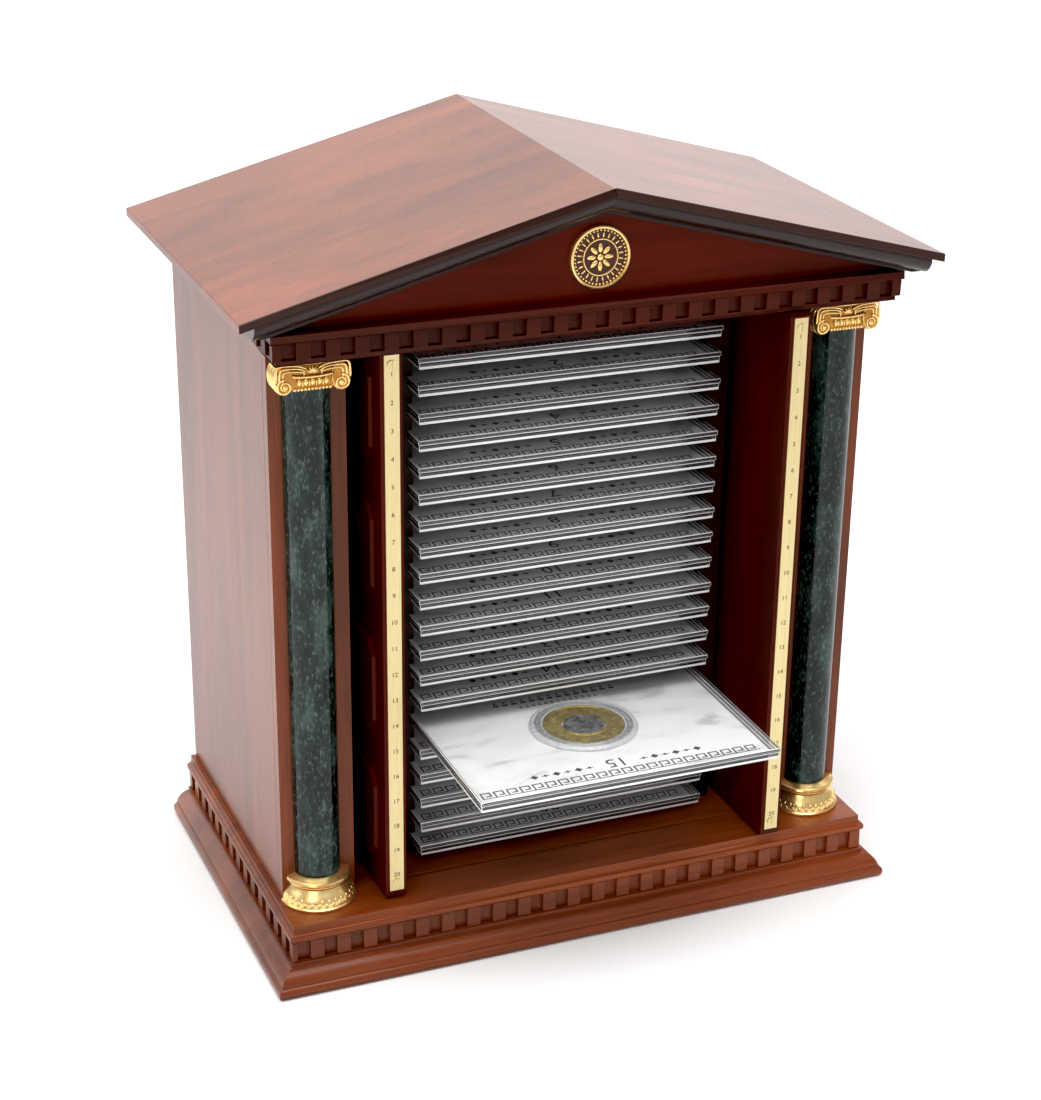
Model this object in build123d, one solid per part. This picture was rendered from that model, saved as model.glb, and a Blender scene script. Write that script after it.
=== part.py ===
"""Temple-fronted cabinet holding a column of slim coin cases between two pocket doors.

Millimetres. +X is the cabinet's right as seen from the front, +Y runs to the back and +Z up.
The origin is the centre of the plinth's underside.
"""

from build123d import *
import os
from math import sin

# ---- coin cases ------------------------------------------------------------------------
TRAY_COUNT = 20
TRAY_WIDTH = 142.0
TRAY_DEPTH = 125.0
TRAY_HEIGHT = 5.2
TRAY_PITCH = 12.31
TRAY_PLAY = 1.0              # how unevenly the cases stand in the rack
OPEN_TRAY = 15               # counted from the top
OPEN_TRAY_PULL = 76.3
TRAY_BASE_HEIGHT = 3.1
TRAY_BASE_INSET = 0.5        # the lid overhangs the base all round
TRAY_WALL = 1.5
TRAY_FLOOR = 1.2
LID_TOP = 1.0
CARD_THICKNESS = 0.6
CARD_CLEARANCE = 0.3
CAPSULE_RADIUS = 24.75
CAPSULE_SETBACK = 56.0       # capsule centre behind the case's front edge
CAPSULE_THICKNESS = 2.2
INSERT_RADIUS = 18.4
INSERT_THICKNESS = 1.9
COIN_RADIUS = 10.0
COIN_THICKNESS = 1.7
COIN_CLEARANCE = 0.2

# ---- rack ------------------------------------------------------------------------------
CHEEK_THICKNESS = 12.5
CHEEK_SETBACK = 20.7         # cheek front edge behind the pilaster front
TRAY_GRIP = 2.0              # how far a case's edge runs in its groove
GROOVE_CLEARANCE = 0.2
RACK_BASE_THICKNESS = 3.24
LOWEST_TRAY_GAP = 1.4
TOP_GAP = 12.6               # over the top case
TRAY_SETBACK = 7.6           # case front behind the pilaster front
BACK_GAP = 8.5               # behind the cases

# ---- doors -----------------------------------------------------------------------------
DOOR_THICKNESS = 9.6
DOOR_RACK_GAP = 4.7          # between a stowed door and the rack cheek
DOOR_SIDE_CLEARANCE = 0.6
DOOR_FLOOR_CLEARANCE = 1.84
DOOR_TOP_CLEARANCE = 0.7
LEFT_DOOR_REACH = 17.3       # strip face ahead of the pilaster front, door stowed
RIGHT_DOOR_REACH = 27.6
PANEL_ROWS = 4
PANEL_GAP = 18.5
PANEL_TOP_RAIL = 5.6
PANEL_BOTTOM_RAIL = 12.7
PANEL_STILE = 10.0
PANEL_RAISE = 1.5
PANEL_CLIP = 7.0
PANEL_BEVEL = 1.2
PIVOT_RADIUS = 1.5
PIVOT_SETBACK = 5.0          # pivot pin ahead of the door's back edge
PIVOT_IN_DOOR = 8.0
PIVOT_REACH = 3.4            # pin length into a guide groove
GUIDE_CLEARANCE = 0.2
GUIDE_DEPTH = 4.0
GUIDE_FRONT_INSET = 7.0      # guide groove end behind the pilaster front

# ---- number strips on the door edges ------------------------------------------------------
STRIP_WIDTH = 6.5
STRIP_THICKNESS = 1.0
STRIP_FOOT_GAP = 3.1         # strip end above the door's bottom
STRIP_HEAD_GAP = 0.5
SCREW_INSET = 4.2            # screw centre from the strip's end
SCREW_HEAD_RADIUS = 1.9
SCREW_HEAD_HEIGHT = 0.6
SCREW_SHANK_RADIUS = 0.9
SCREW_LENGTH = 7.0
SLOT_WIDTH = 0.5

# ---- ring pulls ------------------------------------------------------------------------
ROSE_RADIUS = 4.6
ROSE_THICKNESS = 0.8
EYE_RADIUS = 2.3
EYE_HOLE_RADIUS = 1.25
EYE_HEIGHT = 1.9             # eye centre above the rose
EYE_WIDTH = 3.0
RING_RADIUS = 7.2
RING_WIRE_RADIUS = 0.85

# ---- carcass ---------------------------------------------------------------------------
PULL_SPACE = 9.3             # between a stowed door and the pilaster
PILASTER_WIDTH = 33.6
PILASTER_THICKNESS = 5.7
SIDE_THICKNESS = 9.0
BACK_THICKNESS = 8.0
BACK_MARGIN = 1.1            # the plinth runs past the back by this much

# ---- plinth ----------------------------------------------------------------------------
PLINTH_STEP = 3.3            # dentil band beyond the carcass side
PORCH_DEPTH = 24.54          # dentil band ahead of the pilaster front
LIP_PROJECTION = 8.86
LIP_HEIGHT = 5.4
LIP_NOSE = 2.2
OVOLO_FOOT = 7.2
BAND_FILLET = 1.0
OVOLO_TOP = 11.4
BASE_MOULDING_HEIGHT = 13.2
BAND_THICKNESS = 8.0
BASE_BAND_HEIGHT = 9.5
DECK_THICKNESS = 7.66
DECK_FRAME_WIDTH = 22.6
DECK_INSET = 1.04
BEAD_PROJECTION = 1.0
BEAD_LOW = 1.2
BEAD_HIGH = 3.3
COVE_TOP = 4.9
DECK_GROOVE_WIDTH = 2.0
DECK_GROOVE_DEPTH = 2.5

# ---- dentils ---------------------------------------------------------------------------
DENTIL_WIDTH = 6.3
DENTIL_PITCH = 12.28
BASE_DENTIL_DEPTH = 2.2
BASE_LEFT_BLOCK = 2.3        # first block from the left corner
BASE_SIDE_BLOCK = 5.0        # first block back from a front corner
TOP_DENTIL_DEPTH = 2.6
TOP_LEFT_BLOCK = 3.7
TOP_SIDE_BLOCK = 4.1

# ---- half columns ------------------------------------------------------------------------
SHAFT_RADIUS = 10.3
COLUMN_OFFSET = 0.6          # column axis outward of the pilaster's middle
FOOT_RADIUS = 17.0
FOOT_HEIGHT = 2.6
TORUS_RADIUS = 16.5
TORUS_HEIGHT = 6.0
SCOTIA_HEIGHT = 2.0
SCOTIA_RADIUS = 12.6
RING_TOP_RADIUS = 13.9
RING_TOP_HEIGHT = 3.6
CAPITAL_HEIGHT = 14.3
CAPITAL_HALF_WIDTH = 16.3
CAPITAL_PROJECTION = 13.0
VOLUTE_RADIUS = 4.3
VOLUTE_DROP = 1.9            # the scrolls hang below the capital's bed
ABACUS_HEIGHT = 3.7
ECHINUS_RADIUS = 12.4

# ---- entablature ------------------------------------------------------------------------
ARCHITRAVE_AHEAD = 20.86     # fascia face ahead of the pilaster front
FASCIA_SIDE_STEP = 1.9       # fascia beyond the carcass side
FASCIA_THICKNESS = 8.0
FASCIA_HEIGHT = 2.3
TOP_BAND_STEP = 1.5
TOP_BAND_HEIGHT = 7.6
CROWN_STEP = 2.5
CROWN_HEIGHT = 3.6

# ---- pediment and roof ---------------------------------------------------------------------
TYMPANUM_SETBACK = 7.0       # tympanum behind the crown's face
TYMPANUM_THICKNESS = 8.0
ROOF_SIDE_OVERHANG = 18.9
ROOF_FRONT_OVERHANG = 8.45   # ahead of the crown's face
ROOF_BACK_OVERHANG = 3.1
ROOF_RISE = 0.263            # rise over run
ROOF_THICKNESS = 3.7         # measured upright
EAVE_OVER_CROWN = 5.05       # the roof's underside at the eaves over the crown
CORNICE_DROP = 8.3
CORNICE_FILLET = 1.2
CORNICE_FILLET_AHEAD = 9.0   # inner fillet ahead of the tympanum
CORNICE_TOP_AHEAD = 15.0
CORNICE_END_INSET = 6.1      # cornice ends inside the eaves
MEDALLION_RADIUS = 13.5
MEDALLION_THICKNESS = 2.3
MEDALLION_RIM = 2.2
MEDALLION_OVER_CROWN = 17.8

# ---- places worked out from the sizes above ----------------------------------------------
CHEEK_INNER = TRAY_WIDTH / 2 - TRAY_GRIP
CHEEK_OUTER = CHEEK_INNER + CHEEK_THICKNESS
DOOR_INNER = CHEEK_OUTER + DOOR_RACK_GAP
DOOR_CENTRE = DOOR_INNER + DOOR_THICKNESS / 2
DOOR_OUTER = DOOR_INNER + DOOR_THICKNESS
PILASTER_INNER = DOOR_OUTER + PULL_SPACE
CASE_HALF = PILASTER_INNER + PILASTER_WIDTH
SIDE_INNER = CASE_HALF - SIDE_THICKNESS
BAND_HALF = CASE_HALF + PLINTH_STEP
PLINTH_HALF = BAND_HALF + LIP_PROJECTION

CASE_DEPTH = TRAY_SETBACK + TRAY_DEPTH + BACK_GAP + BACK_THICKNESS
PLINTH_DEPTH = LIP_PROJECTION + PORCH_DEPTH + CASE_DEPTH + BACK_MARGIN
PLINTH_BACK = PLINTH_DEPTH / 2
BAND_FRONT = -PLINTH_DEPTH / 2 + LIP_PROJECTION
CASE_FRONT = BAND_FRONT + PORCH_DEPTH
CASE_BACK = CASE_FRONT + CASE_DEPTH
BACK_FACE = CASE_BACK - BACK_THICKNESS
SIDE_FRONT = CASE_FRONT + PILASTER_THICKNESS
TRAY_FRONT = CASE_FRONT + TRAY_SETBACK
CHEEK_FRONT = CASE_FRONT + CHEEK_SETBACK

BAND_BOTTOM = BASE_MOULDING_HEIGHT
DECK_BOTTOM = BAND_BOTTOM + BASE_BAND_HEIGHT
DECK_TOP = DECK_BOTTOM + DECK_THICKNESS
RACK_FLOOR = DECK_TOP + RACK_BASE_THICKNESS
STACK_BOTTOM = RACK_FLOOR + LOWEST_TRAY_GAP
STACK_TOP = STACK_BOTTOM + TRAY_HEIGHT + (TRAY_COUNT - 1) * TRAY_PITCH
CEILING = STACK_TOP + TOP_GAP
TOP_BAND_BOTTOM = CEILING + FASCIA_HEIGHT
CROWN_BOTTOM = TOP_BAND_BOTTOM + TOP_BAND_HEIGHT
CROWN_TOP = CROWN_BOTTOM + CROWN_HEIGHT

PORCH_HALF = CASE_HALF + FASCIA_SIDE_STEP - FASCIA_THICKNESS
PORCH_FRONT = CASE_FRONT - ARCHITRAVE_AHEAD + FASCIA_THICKNESS
CROWN_FRONT = PORCH_FRONT - FASCIA_THICKNESS - CROWN_STEP
TYMPANUM_FRONT = CROWN_FRONT + TYMPANUM_SETBACK
ROOF_FRONT = CROWN_FRONT - ROOF_FRONT_OVERHANG
ROOF_BACK = CASE_BACK + ROOF_BACK_OVERHANG
EAVE_HALF = CASE_HALF + ROOF_SIDE_OVERHANG
ROOF_UNDER_APEX = CROWN_TOP + EAVE_OVER_CROWN + EAVE_HALF * ROOF_RISE

DOOR_WIDTH = PILASTER_INNER - DOOR_SIDE_CLEARANCE
DOOR_BOTTOM = DECK_TOP + DOOR_FLOOR_CLEARANCE
DOOR_TOP = CEILING - DOOR_TOP_CLEARANCE
PANEL_RUN = DOOR_TOP - PANEL_TOP_RAIL - DOOR_BOTTOM - PANEL_BOTTOM_RAIL
PANEL_HEIGHT = (PANEL_RUN - (PANEL_ROWS - 1) * PANEL_GAP) / PANEL_ROWS
FAR = 1000.0                 # reaches past the whole cabinet


# ---- helpers ---------------------------------------------------------------------------
def block(x_range, y_range, z_range):
    """A box from its three ranges."""
    size = [high - low for low, high in (x_range, y_range, z_range)]
    centre = [(high + low) / 2 for low, high in (x_range, y_range, z_range)]
    return Pos(*centre) * Box(*size)


def upright(radius, x, y, z_range):
    """A vertical cylinder."""
    low, high = z_range
    return Pos(x, y, (low + high) / 2) * Cylinder(radius, high - low)


def along_y(radius, x, z, y_range):
    """A cylinder whose axis runs from front to back."""
    low, high = y_range
    return Pos(x, (low + high) / 2, z) * Rot(90, 0, 0) * Cylinder(radius, high - low)


def along_x(radius, y, z, x_range):
    """A cylinder whose axis runs from side to side."""
    low, high = x_range
    return Pos((low + high) / 2, y, z) * Rot(0, 90, 0) * Cylinder(radius, high - low)


def rectangle(low, high):
    """A face between two opposite corners of a profile."""
    centre = Pos((low[0] + high[0]) / 2, (low[1] + high[1]) / 2)
    return centre * Rectangle(high[0] - low[0], high[1] - low[1])


def mirrored(shape):
    """The same shape on the cabinet's other side."""
    return mirror(shape, about=Plane.YZ)


def mitred_frame(profile, half_width, front, back):
    """Three runs of one profile around the front and both sides, mitred at the front corners.

    The profile is drawn as (distance outward, height) from the faces at half_width and front.
    """
    reach = FASCIA_THICKNESS + DECK_FRAME_WIDTH + LIP_PROJECTION
    front_plan = Polyline(
        (-half_width - reach, front - reach), (half_width + reach, front - reach),
        (half_width - reach, front + reach), (reach - half_width, front + reach), close=True)
    side_plan = Polyline(
        (half_width - reach, front + reach), (half_width + reach, front - reach),
        (half_width + reach, back), (half_width - reach, back), close=True)
    front_run = extrude(Plane((0, front, 0), (0, -1, 0), (-1, 0, 0)) * profile, FAR, both=True)
    side_run = extrude(Plane((half_width, 0, 0), (1, 0, 0), (0, -1, 0)) * profile, FAR, both=True)
    front_piece = front_run & extrude(make_face(front_plan), FAR)
    side_piece = side_run & extrude(make_face(side_plan), FAR)
    return [front_piece, mirrored(side_piece), side_piece]


def dentil_band(inset, face_step, bottom, height, depth, left_block, side_block, frame, back):
    """A mitred band with square-bottomed recesses cut into its three faces."""
    half_width, front = frame
    pieces = mitred_frame(rectangle((-inset, bottom), (face_step, bottom + height)),
                          half_width, front, back)
    outer, face = half_width + face_step, front - face_step
    recess = DENTIL_PITCH - DENTIL_WIDTH
    z_range = (bottom, bottom + height)
    front_cuts = []
    left = left_block - outer
    while left + recess < outer:
        front_cuts.append(block((left, left + recess), (face - depth, face + depth), z_range))
        left += DENTIL_PITCH
    side_cuts = []
    start = face + side_block
    while start + recess < back:
        side_cuts.append(block((outer - depth, outer + depth), (start, start + recess), z_range))
        start += DENTIL_PITCH
    front_piece = pieces[0] - front_cuts
    right_piece = pieces[2] - side_cuts
    return [front_piece, mirrored(right_piece), right_piece]


def under_roof(shape):
    """The shape cut off along the underside of the two roof slopes."""
    roof_plan = Polyline((-FAR, 0), (-FAR, ROOF_UNDER_APEX - FAR * ROOF_RISE),
                         (0, ROOF_UNDER_APEX), (FAR, ROOF_UNDER_APEX - FAR * ROOF_RISE),
                         (FAR, 0), (0, -FAR), close=True)
    space = extrude(Plane((0, 0, 0), (1, 0, 0), (0, -1, 0)) * make_face(roof_plan), FAR, both=True)
    return shape & space


# ---- plinth ----------------------------------------------------------------------------
PLINTH_FRAME = (BAND_HALF - BAND_THICKNESS, BAND_FRONT + BAND_THICKNESS)


def plinth_core():
    """The solid block that the plinth's mouldings are pinned to."""
    half_width, front = PLINTH_FRAME
    return block((-half_width, half_width), (front, PLINTH_BACK), (0, DECK_BOTTOM))


def base_mouldings():
    """The foot moulding: a round-nosed lip under a quarter round and a fillet."""
    lip = BAND_THICKNESS + LIP_PROJECTION
    foot = BAND_THICKNESS + OVOLO_FOOT
    top = BAND_THICKNESS + BAND_FILLET
    nose_low = LIP_NOSE
    nose_high = LIP_HEIGHT - LIP_NOSE
    outline = Polyline((foot, LIP_HEIGHT), (lip - LIP_NOSE, LIP_HEIGHT))
    outline += RadiusArc((lip - LIP_NOSE, LIP_HEIGHT), (lip, nose_high), LIP_NOSE)
    outline += Polyline((lip, nose_high), (lip, nose_low))
    outline += RadiusArc((lip, nose_low), (lip - LIP_NOSE, 0), LIP_NOSE)
    outline += Polyline((lip - LIP_NOSE, 0), (0, 0), (0, BASE_MOULDING_HEIGHT),
                        (top, BASE_MOULDING_HEIGHT), (top, OVOLO_TOP))
    outline += RadiusArc((top, OVOLO_TOP), (foot, LIP_HEIGHT), OVOLO_FOOT)
    return mitred_frame(make_face(outline), *PLINTH_FRAME, PLINTH_BACK)


def base_dentil_bands():
    """The dentil band between the foot moulding and the deck."""
    return dentil_band(0, BAND_THICKNESS, BAND_BOTTOM, BASE_BAND_HEIGHT, BASE_DENTIL_DEPTH,
                       BASE_LEFT_BLOCK, BASE_SIDE_BLOCK, PLINTH_FRAME, PLINTH_BACK)


def deck_mouldings():
    """The deck's mitred frame, with a bead and a hollow along its outer edge."""
    edge = BAND_THICKNESS - DECK_INSET
    bead = BAND_THICKNESS + BEAD_PROJECTION
    inner = edge - DECK_FRAME_WIDTH
    outline = Polyline((edge, DECK_TOP), (inner, DECK_TOP), (inner, DECK_BOTTOM),
                       (BAND_THICKNESS, DECK_BOTTOM), (bead, DECK_BOTTOM + BEAD_LOW),
                       (bead, DECK_BOTTOM + BEAD_HIGH))
    outline += RadiusArc((bead, DECK_BOTTOM + BEAD_HIGH), (edge, DECK_BOTTOM + COVE_TOP),
                         bead - edge)
    outline += Polyline((edge, DECK_BOTTOM + COVE_TOP), (edge, DECK_TOP))
    return mitred_frame(make_face(outline), *PLINTH_FRAME, PLINTH_BACK)


def guide_grooves(z_range):
    """The two straight grooves that the doors' pivot pins run in, from shut to fully home."""
    half = PIVOT_RADIUS + GUIDE_CLEARANCE
    home_pin = CASE_FRONT + STRIP_THICKNESS + DOOR_WIDTH - PIVOT_SETBACK
    y_range = (CASE_FRONT + GUIDE_FRONT_INSET, home_pin + half)
    right = block((DOOR_CENTRE - half, DOOR_CENTRE + half), y_range, z_range)
    return [mirrored(right), right]


def deck_board():
    """The floor inside the deck's frame, with the lower guides and a shallow front groove."""
    half_width = PLINTH_FRAME[0] + BAND_THICKNESS - DECK_INSET - DECK_FRAME_WIDTH
    front = PLINTH_FRAME[1] - BAND_THICKNESS + DECK_INSET + DECK_FRAME_WIDTH
    board = block((-half_width, half_width), (front, PLINTH_BACK), (DECK_BOTTOM, DECK_TOP))
    groove = block((-CHEEK_OUTER, CHEEK_OUTER), (front, front + DECK_GROOVE_WIDTH),
                   (DECK_TOP - DECK_GROOVE_DEPTH, DECK_TOP))
    return board - groove - guide_grooves((DECK_TOP - GUIDE_DEPTH, DECK_TOP))


# ---- carcass ---------------------------------------------------------------------------
def side_panel():
    """The right side: a board that rises to the roof and runs forward over the porch."""
    x_range = (SIDE_INNER, CASE_HALF)
    lower = block(x_range, (SIDE_FRONT, CASE_BACK), (DECK_TOP, CROWN_TOP))
    attic = block(x_range, (TYMPANUM_FRONT + TYMPANUM_THICKNESS, CASE_BACK),
                  (CROWN_TOP, ROOF_UNDER_APEX))
    return lower + under_roof(attic)


def back_panel():
    """The board that closes the back between the sides."""
    return block((-SIDE_INNER, SIDE_INNER), (BACK_FACE, CASE_BACK), (DECK_TOP, CROWN_TOP))


def pilasters():
    """The flat boards beside the opening, which carry the half columns."""
    right = block((PILASTER_INNER, CASE_HALF), (CASE_FRONT, SIDE_FRONT), (DECK_TOP, CEILING))
    return [mirrored(right), right]


def ceiling_board():
    """One board over the cases and the porch, with the doors' upper guides."""
    z_range = (CEILING, CROWN_TOP)
    porch = block((-PORCH_HALF, PORCH_HALF), (PORCH_FRONT, SIDE_FRONT), z_range)
    inside = block((-SIDE_INNER, SIDE_INNER), (SIDE_FRONT, BACK_FACE), z_range)
    return porch + inside - guide_grooves((CEILING, CEILING + GUIDE_DEPTH))


# ---- rack ------------------------------------------------------------------------------
def tray_bottom(number):
    """Height of the underside of a case, counted from the top."""
    return STACK_BOTTOM + (TRAY_COUNT - number) * TRAY_PITCH


def rack_cheeks():
    """The two grooved boards that carry the cases by their edges."""
    right = block((CHEEK_INNER, CHEEK_OUTER), (CHEEK_FRONT, BACK_FACE), (RACK_FLOOR, CEILING))
    groove_end = TRAY_FRONT + TRAY_DEPTH + GROOVE_CLEARANCE
    groove_wall = TRAY_WIDTH / 2 + GROOVE_CLEARANCE
    grooves = []
    for number in range(1, TRAY_COUNT + 1):
        low = tray_bottom(number) - GROOVE_CLEARANCE
        high = tray_bottom(number) + TRAY_HEIGHT + GROOVE_CLEARANCE
        grooves.append(block((0, groove_wall), (CHEEK_FRONT, groove_end), (low, high)))
    right -= grooves
    return [mirrored(right), right]


def rack_base():
    """The thin board under the cases that the cheeks stand on."""
    return block((-CHEEK_OUTER, CHEEK_OUTER), (CHEEK_FRONT, BACK_FACE), (DECK_TOP, RACK_FLOOR))


# ---- half columns ------------------------------------------------------------------------
COLUMN_X = PILASTER_INNER + PILASTER_WIDTH / 2 + COLUMN_OFFSET
SHAFT_BOTTOM = DECK_TOP + FOOT_HEIGHT + TORUS_HEIGHT + SCOTIA_HEIGHT + RING_TOP_HEIGHT
SHAFT_TOP = CEILING - CAPITAL_HEIGHT


def half_round(solid):
    """The half of a turned piece that stands proud of the pilaster."""
    return solid & block((-FAR, FAR), (-FAR, CASE_FRONT), (-FAR, FAR))


def half_shaft():
    """The right column's shaft."""
    return half_round(upright(SHAFT_RADIUS, COLUMN_X, CASE_FRONT, (SHAFT_BOTTOM, SHAFT_TOP)))


def column_shafts():
    """Both half-round shafts."""
    return [mirrored(half_shaft()), half_shaft()]


def column_bases():
    """Turned bases: a foot, a fat torus, a hollow and a ring."""
    torus_top = FOOT_HEIGHT + TORUS_HEIGHT
    ring_bottom = torus_top + SCOTIA_HEIGHT
    ring_top = ring_bottom + RING_TOP_HEIGHT
    torus_side = TORUS_RADIUS - TORUS_HEIGHT / 2
    outline = Polyline((torus_side, FOOT_HEIGHT), (FOOT_RADIUS, FOOT_HEIGHT), (FOOT_RADIUS, 0),
                       (0, 0), (0, ring_top), (RING_TOP_RADIUS, ring_top),
                       (RING_TOP_RADIUS, ring_bottom), (SCOTIA_RADIUS, ring_bottom),
                       (SCOTIA_RADIUS, torus_top), (torus_side, torus_top))
    outline += ThreePointArc((torus_side, torus_top),
                             (TORUS_RADIUS, FOOT_HEIGHT + TORUS_HEIGHT / 2),
                             (torus_side, FOOT_HEIGHT))
    turned = revolve(Plane.XZ * make_face(outline), Axis.Z)
    right = half_round(Pos(COLUMN_X, CASE_FRONT, DECK_TOP) * turned)
    return [mirrored(right), right]


def column_capitals():
    """Scrolled capitals: two volutes under a square slab, around a turned cushion."""
    abacus_bottom = CEILING - ABACUS_HEIGHT
    y_range = (CASE_FRONT - CAPITAL_PROJECTION, CASE_FRONT)
    low_x = COLUMN_X - CAPITAL_HALF_WIDTH
    high_x = COLUMN_X + CAPITAL_HALF_WIDTH
    volute_z = SHAFT_TOP - VOLUTE_DROP + VOLUTE_RADIUS
    capital = block((low_x, high_x), y_range, (abacus_bottom, CEILING))
    capital += half_round(upright(ECHINUS_RADIUS, COLUMN_X, CASE_FRONT, (SHAFT_TOP, abacus_bottom)))
    capital += block((low_x + VOLUTE_RADIUS, high_x - VOLUTE_RADIUS), y_range,
                     (volute_z, abacus_bottom))
    capital += along_y(VOLUTE_RADIUS, low_x + VOLUTE_RADIUS, volute_z, y_range)
    capital += along_y(VOLUTE_RADIUS, high_x - VOLUTE_RADIUS, volute_z, y_range)
    right = capital - half_shaft()
    return [mirrored(right), right]


# ---- entablature ------------------------------------------------------------------------
PORCH_FRAME = (PORCH_HALF, PORCH_FRONT)


def fascia_strips():
    """The plain lowest strip of the entablature."""
    profile = rectangle((0, CEILING), (FASCIA_THICKNESS, TOP_BAND_BOTTOM))
    return mitred_frame(profile, *PORCH_FRAME, SIDE_FRONT)


def entablature_dentils():
    """The dentil band over the porch."""
    return dentil_band(0, FASCIA_THICKNESS + TOP_BAND_STEP, TOP_BAND_BOTTOM, TOP_BAND_HEIGHT,
                       TOP_DENTIL_DEPTH, TOP_LEFT_BLOCK, TOP_SIDE_BLOCK, PORCH_FRAME, SIDE_FRONT)


def crown_mouldings():
    """The strip that caps the dentil band."""
    profile = rectangle((0, CROWN_BOTTOM), (FASCIA_THICKNESS + CROWN_STEP, CROWN_TOP))
    return mitred_frame(profile, *PORCH_FRAME, SIDE_FRONT)


# ---- pediment and roof ---------------------------------------------------------------------
CROWN_HALF = PORCH_HALF + FASCIA_THICKNESS + CROWN_STEP


def pediment_board():
    """The triangular board behind the raking cornices."""
    return under_roof(block((-CROWN_HALF, CROWN_HALF),
                            (TYMPANUM_FRONT, TYMPANUM_FRONT + TYMPANUM_THICKNESS),
                            (CROWN_TOP, ROOF_UNDER_APEX)))


def rear_gable():
    """The triangle that closes the roof at the back."""
    return under_roof(block((-SIDE_INNER, SIDE_INNER), (BACK_FACE, CASE_BACK),
                            (CROWN_TOP, ROOF_UNDER_APEX)))


def raking_cornices():
    """Hollow mouldings that follow the roof's slopes and meet in a mitre under the ridge."""
    inner_y = TYMPANUM_FRONT - CORNICE_FILLET_AHEAD
    outer_y = TYMPANUM_FRONT - CORNICE_TOP_AHEAD
    end_x = EAVE_HALF - CORNICE_END_INSET
    cove_foot = CORNICE_FILLET - CORNICE_DROP
    outline = Polyline((inner_y, cove_foot), (inner_y, -CORNICE_DROP),
                       (TYMPANUM_FRONT, -CORNICE_DROP), (TYMPANUM_FRONT, 0), (outer_y, 0),
                       (outer_y, -CORNICE_FILLET))
    outline += RadiusArc((outer_y, -CORNICE_FILLET), (inner_y, cove_foot),
                         -CORNICE_DROP)
    section = Plane((0, 0, ROOF_UNDER_APEX), (0, 1, 0), (1, 0, 0)) * make_face(outline)
    slope_end = Vector(end_x, 0, -end_x * ROOF_RISE)
    run = Solid.extrude(section.face(), slope_end)
    right = run & block((0, end_x), (-FAR, FAR), (CROWN_TOP, ROOF_UNDER_APEX))
    return [mirrored(right), right]


def roof_panels():
    """Two sloping boards that meet at the ridge."""
    eave_under = ROOF_UNDER_APEX - EAVE_HALF * ROOF_RISE
    outline = Polyline((0, ROOF_UNDER_APEX), (EAVE_HALF, eave_under),
                       (EAVE_HALF, eave_under + ROOF_THICKNESS),
                       (0, ROOF_UNDER_APEX + ROOF_THICKNESS), close=True)
    section = Plane((0, ROOF_BACK, 0), (1, 0, 0), (0, -1, 0)) * make_face(outline)
    right = extrude(section, ROOF_BACK - ROOF_FRONT)
    return [mirrored(right), right]


def medallion():
    """The gilt disc on the tympanum, with a raised rim and a low boss."""
    centre_z = CROWN_TOP + MEDALLION_OVER_CROWN
    front = TYMPANUM_FRONT - MEDALLION_THICKNESS
    disc = along_y(MEDALLION_RADIUS, 0, centre_z, (front, TYMPANUM_FRONT))
    field = MEDALLION_RADIUS - MEDALLION_RIM
    dish = along_y(field, 0, centre_z, (front, front + MEDALLION_THICKNESS / 2))
    boss = along_y(field / 2, 0, centre_z, (front + MEDALLION_THICKNESS / 4, TYMPANUM_FRONT))
    return disc - dish + boss


# ---- doors -----------------------------------------------------------------------------
def door_front(reach):
    """The y of a stowed door's wooden front edge."""
    return CASE_FRONT - reach + STRIP_THICKNESS


def strip_span():
    """Heights of the number strip's two ends."""
    return DOOR_BOTTOM + STRIP_FOOT_GAP, DOOR_TOP - STRIP_HEAD_GAP


def screw_heights():
    """Heights of the strip's two screws."""
    low, high = strip_span()
    return low + SCREW_INSET, high - SCREW_INSET


def panel_centres():
    """Heights of the raised panels' centres, from the top down."""
    first = DOOR_TOP - PANEL_TOP_RAIL - PANEL_HEIGHT / 2
    return [first - row * (PANEL_HEIGHT + PANEL_GAP) for row in range(PANEL_ROWS)]


def raised_panel(centre_y, centre_z):
    """A panel with clipped corners and bevelled edges on the door's outer face."""
    half_y = DOOR_WIDTH / 2 - PANEL_STILE
    half_z = PANEL_HEIGHT / 2
    outline = Polyline(
        (-half_y + PANEL_CLIP, -half_z), (half_y - PANEL_CLIP, -half_z),
        (half_y, -half_z + PANEL_CLIP), (half_y, half_z - PANEL_CLIP),
        (half_y - PANEL_CLIP, half_z), (-half_y + PANEL_CLIP, half_z),
        (-half_y, half_z - PANEL_CLIP), (-half_y, -half_z + PANEL_CLIP), close=True)
    plane = Plane((DOOR_OUTER, centre_y, centre_z), (0, 1, 0), (1, 0, 0))
    panel = extrude(plane * make_face(outline), PANEL_RAISE)
    return chamfer(panel.faces().sort_by(Axis.X)[-1].edges(), PANEL_BEVEL)


def right_door(reach):
    """A door leaf standing square to the front, panelled on its outer face."""
    front = door_front(reach)
    leaf = block((DOOR_INNER, DOOR_OUTER), (front, front + DOOR_WIDTH), (DOOR_BOTTOM, DOOR_TOP))
    for height in panel_centres():
        leaf += raised_panel(front + DOOR_WIDTH / 2, height)
    for pin in right_door_pins(reach):
        leaf -= pin
    for height in screw_heights():
        leaf -= along_y(SCREW_SHANK_RADIUS, DOOR_CENTRE, height, (front, front + SCREW_LENGTH))
    return leaf


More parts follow.
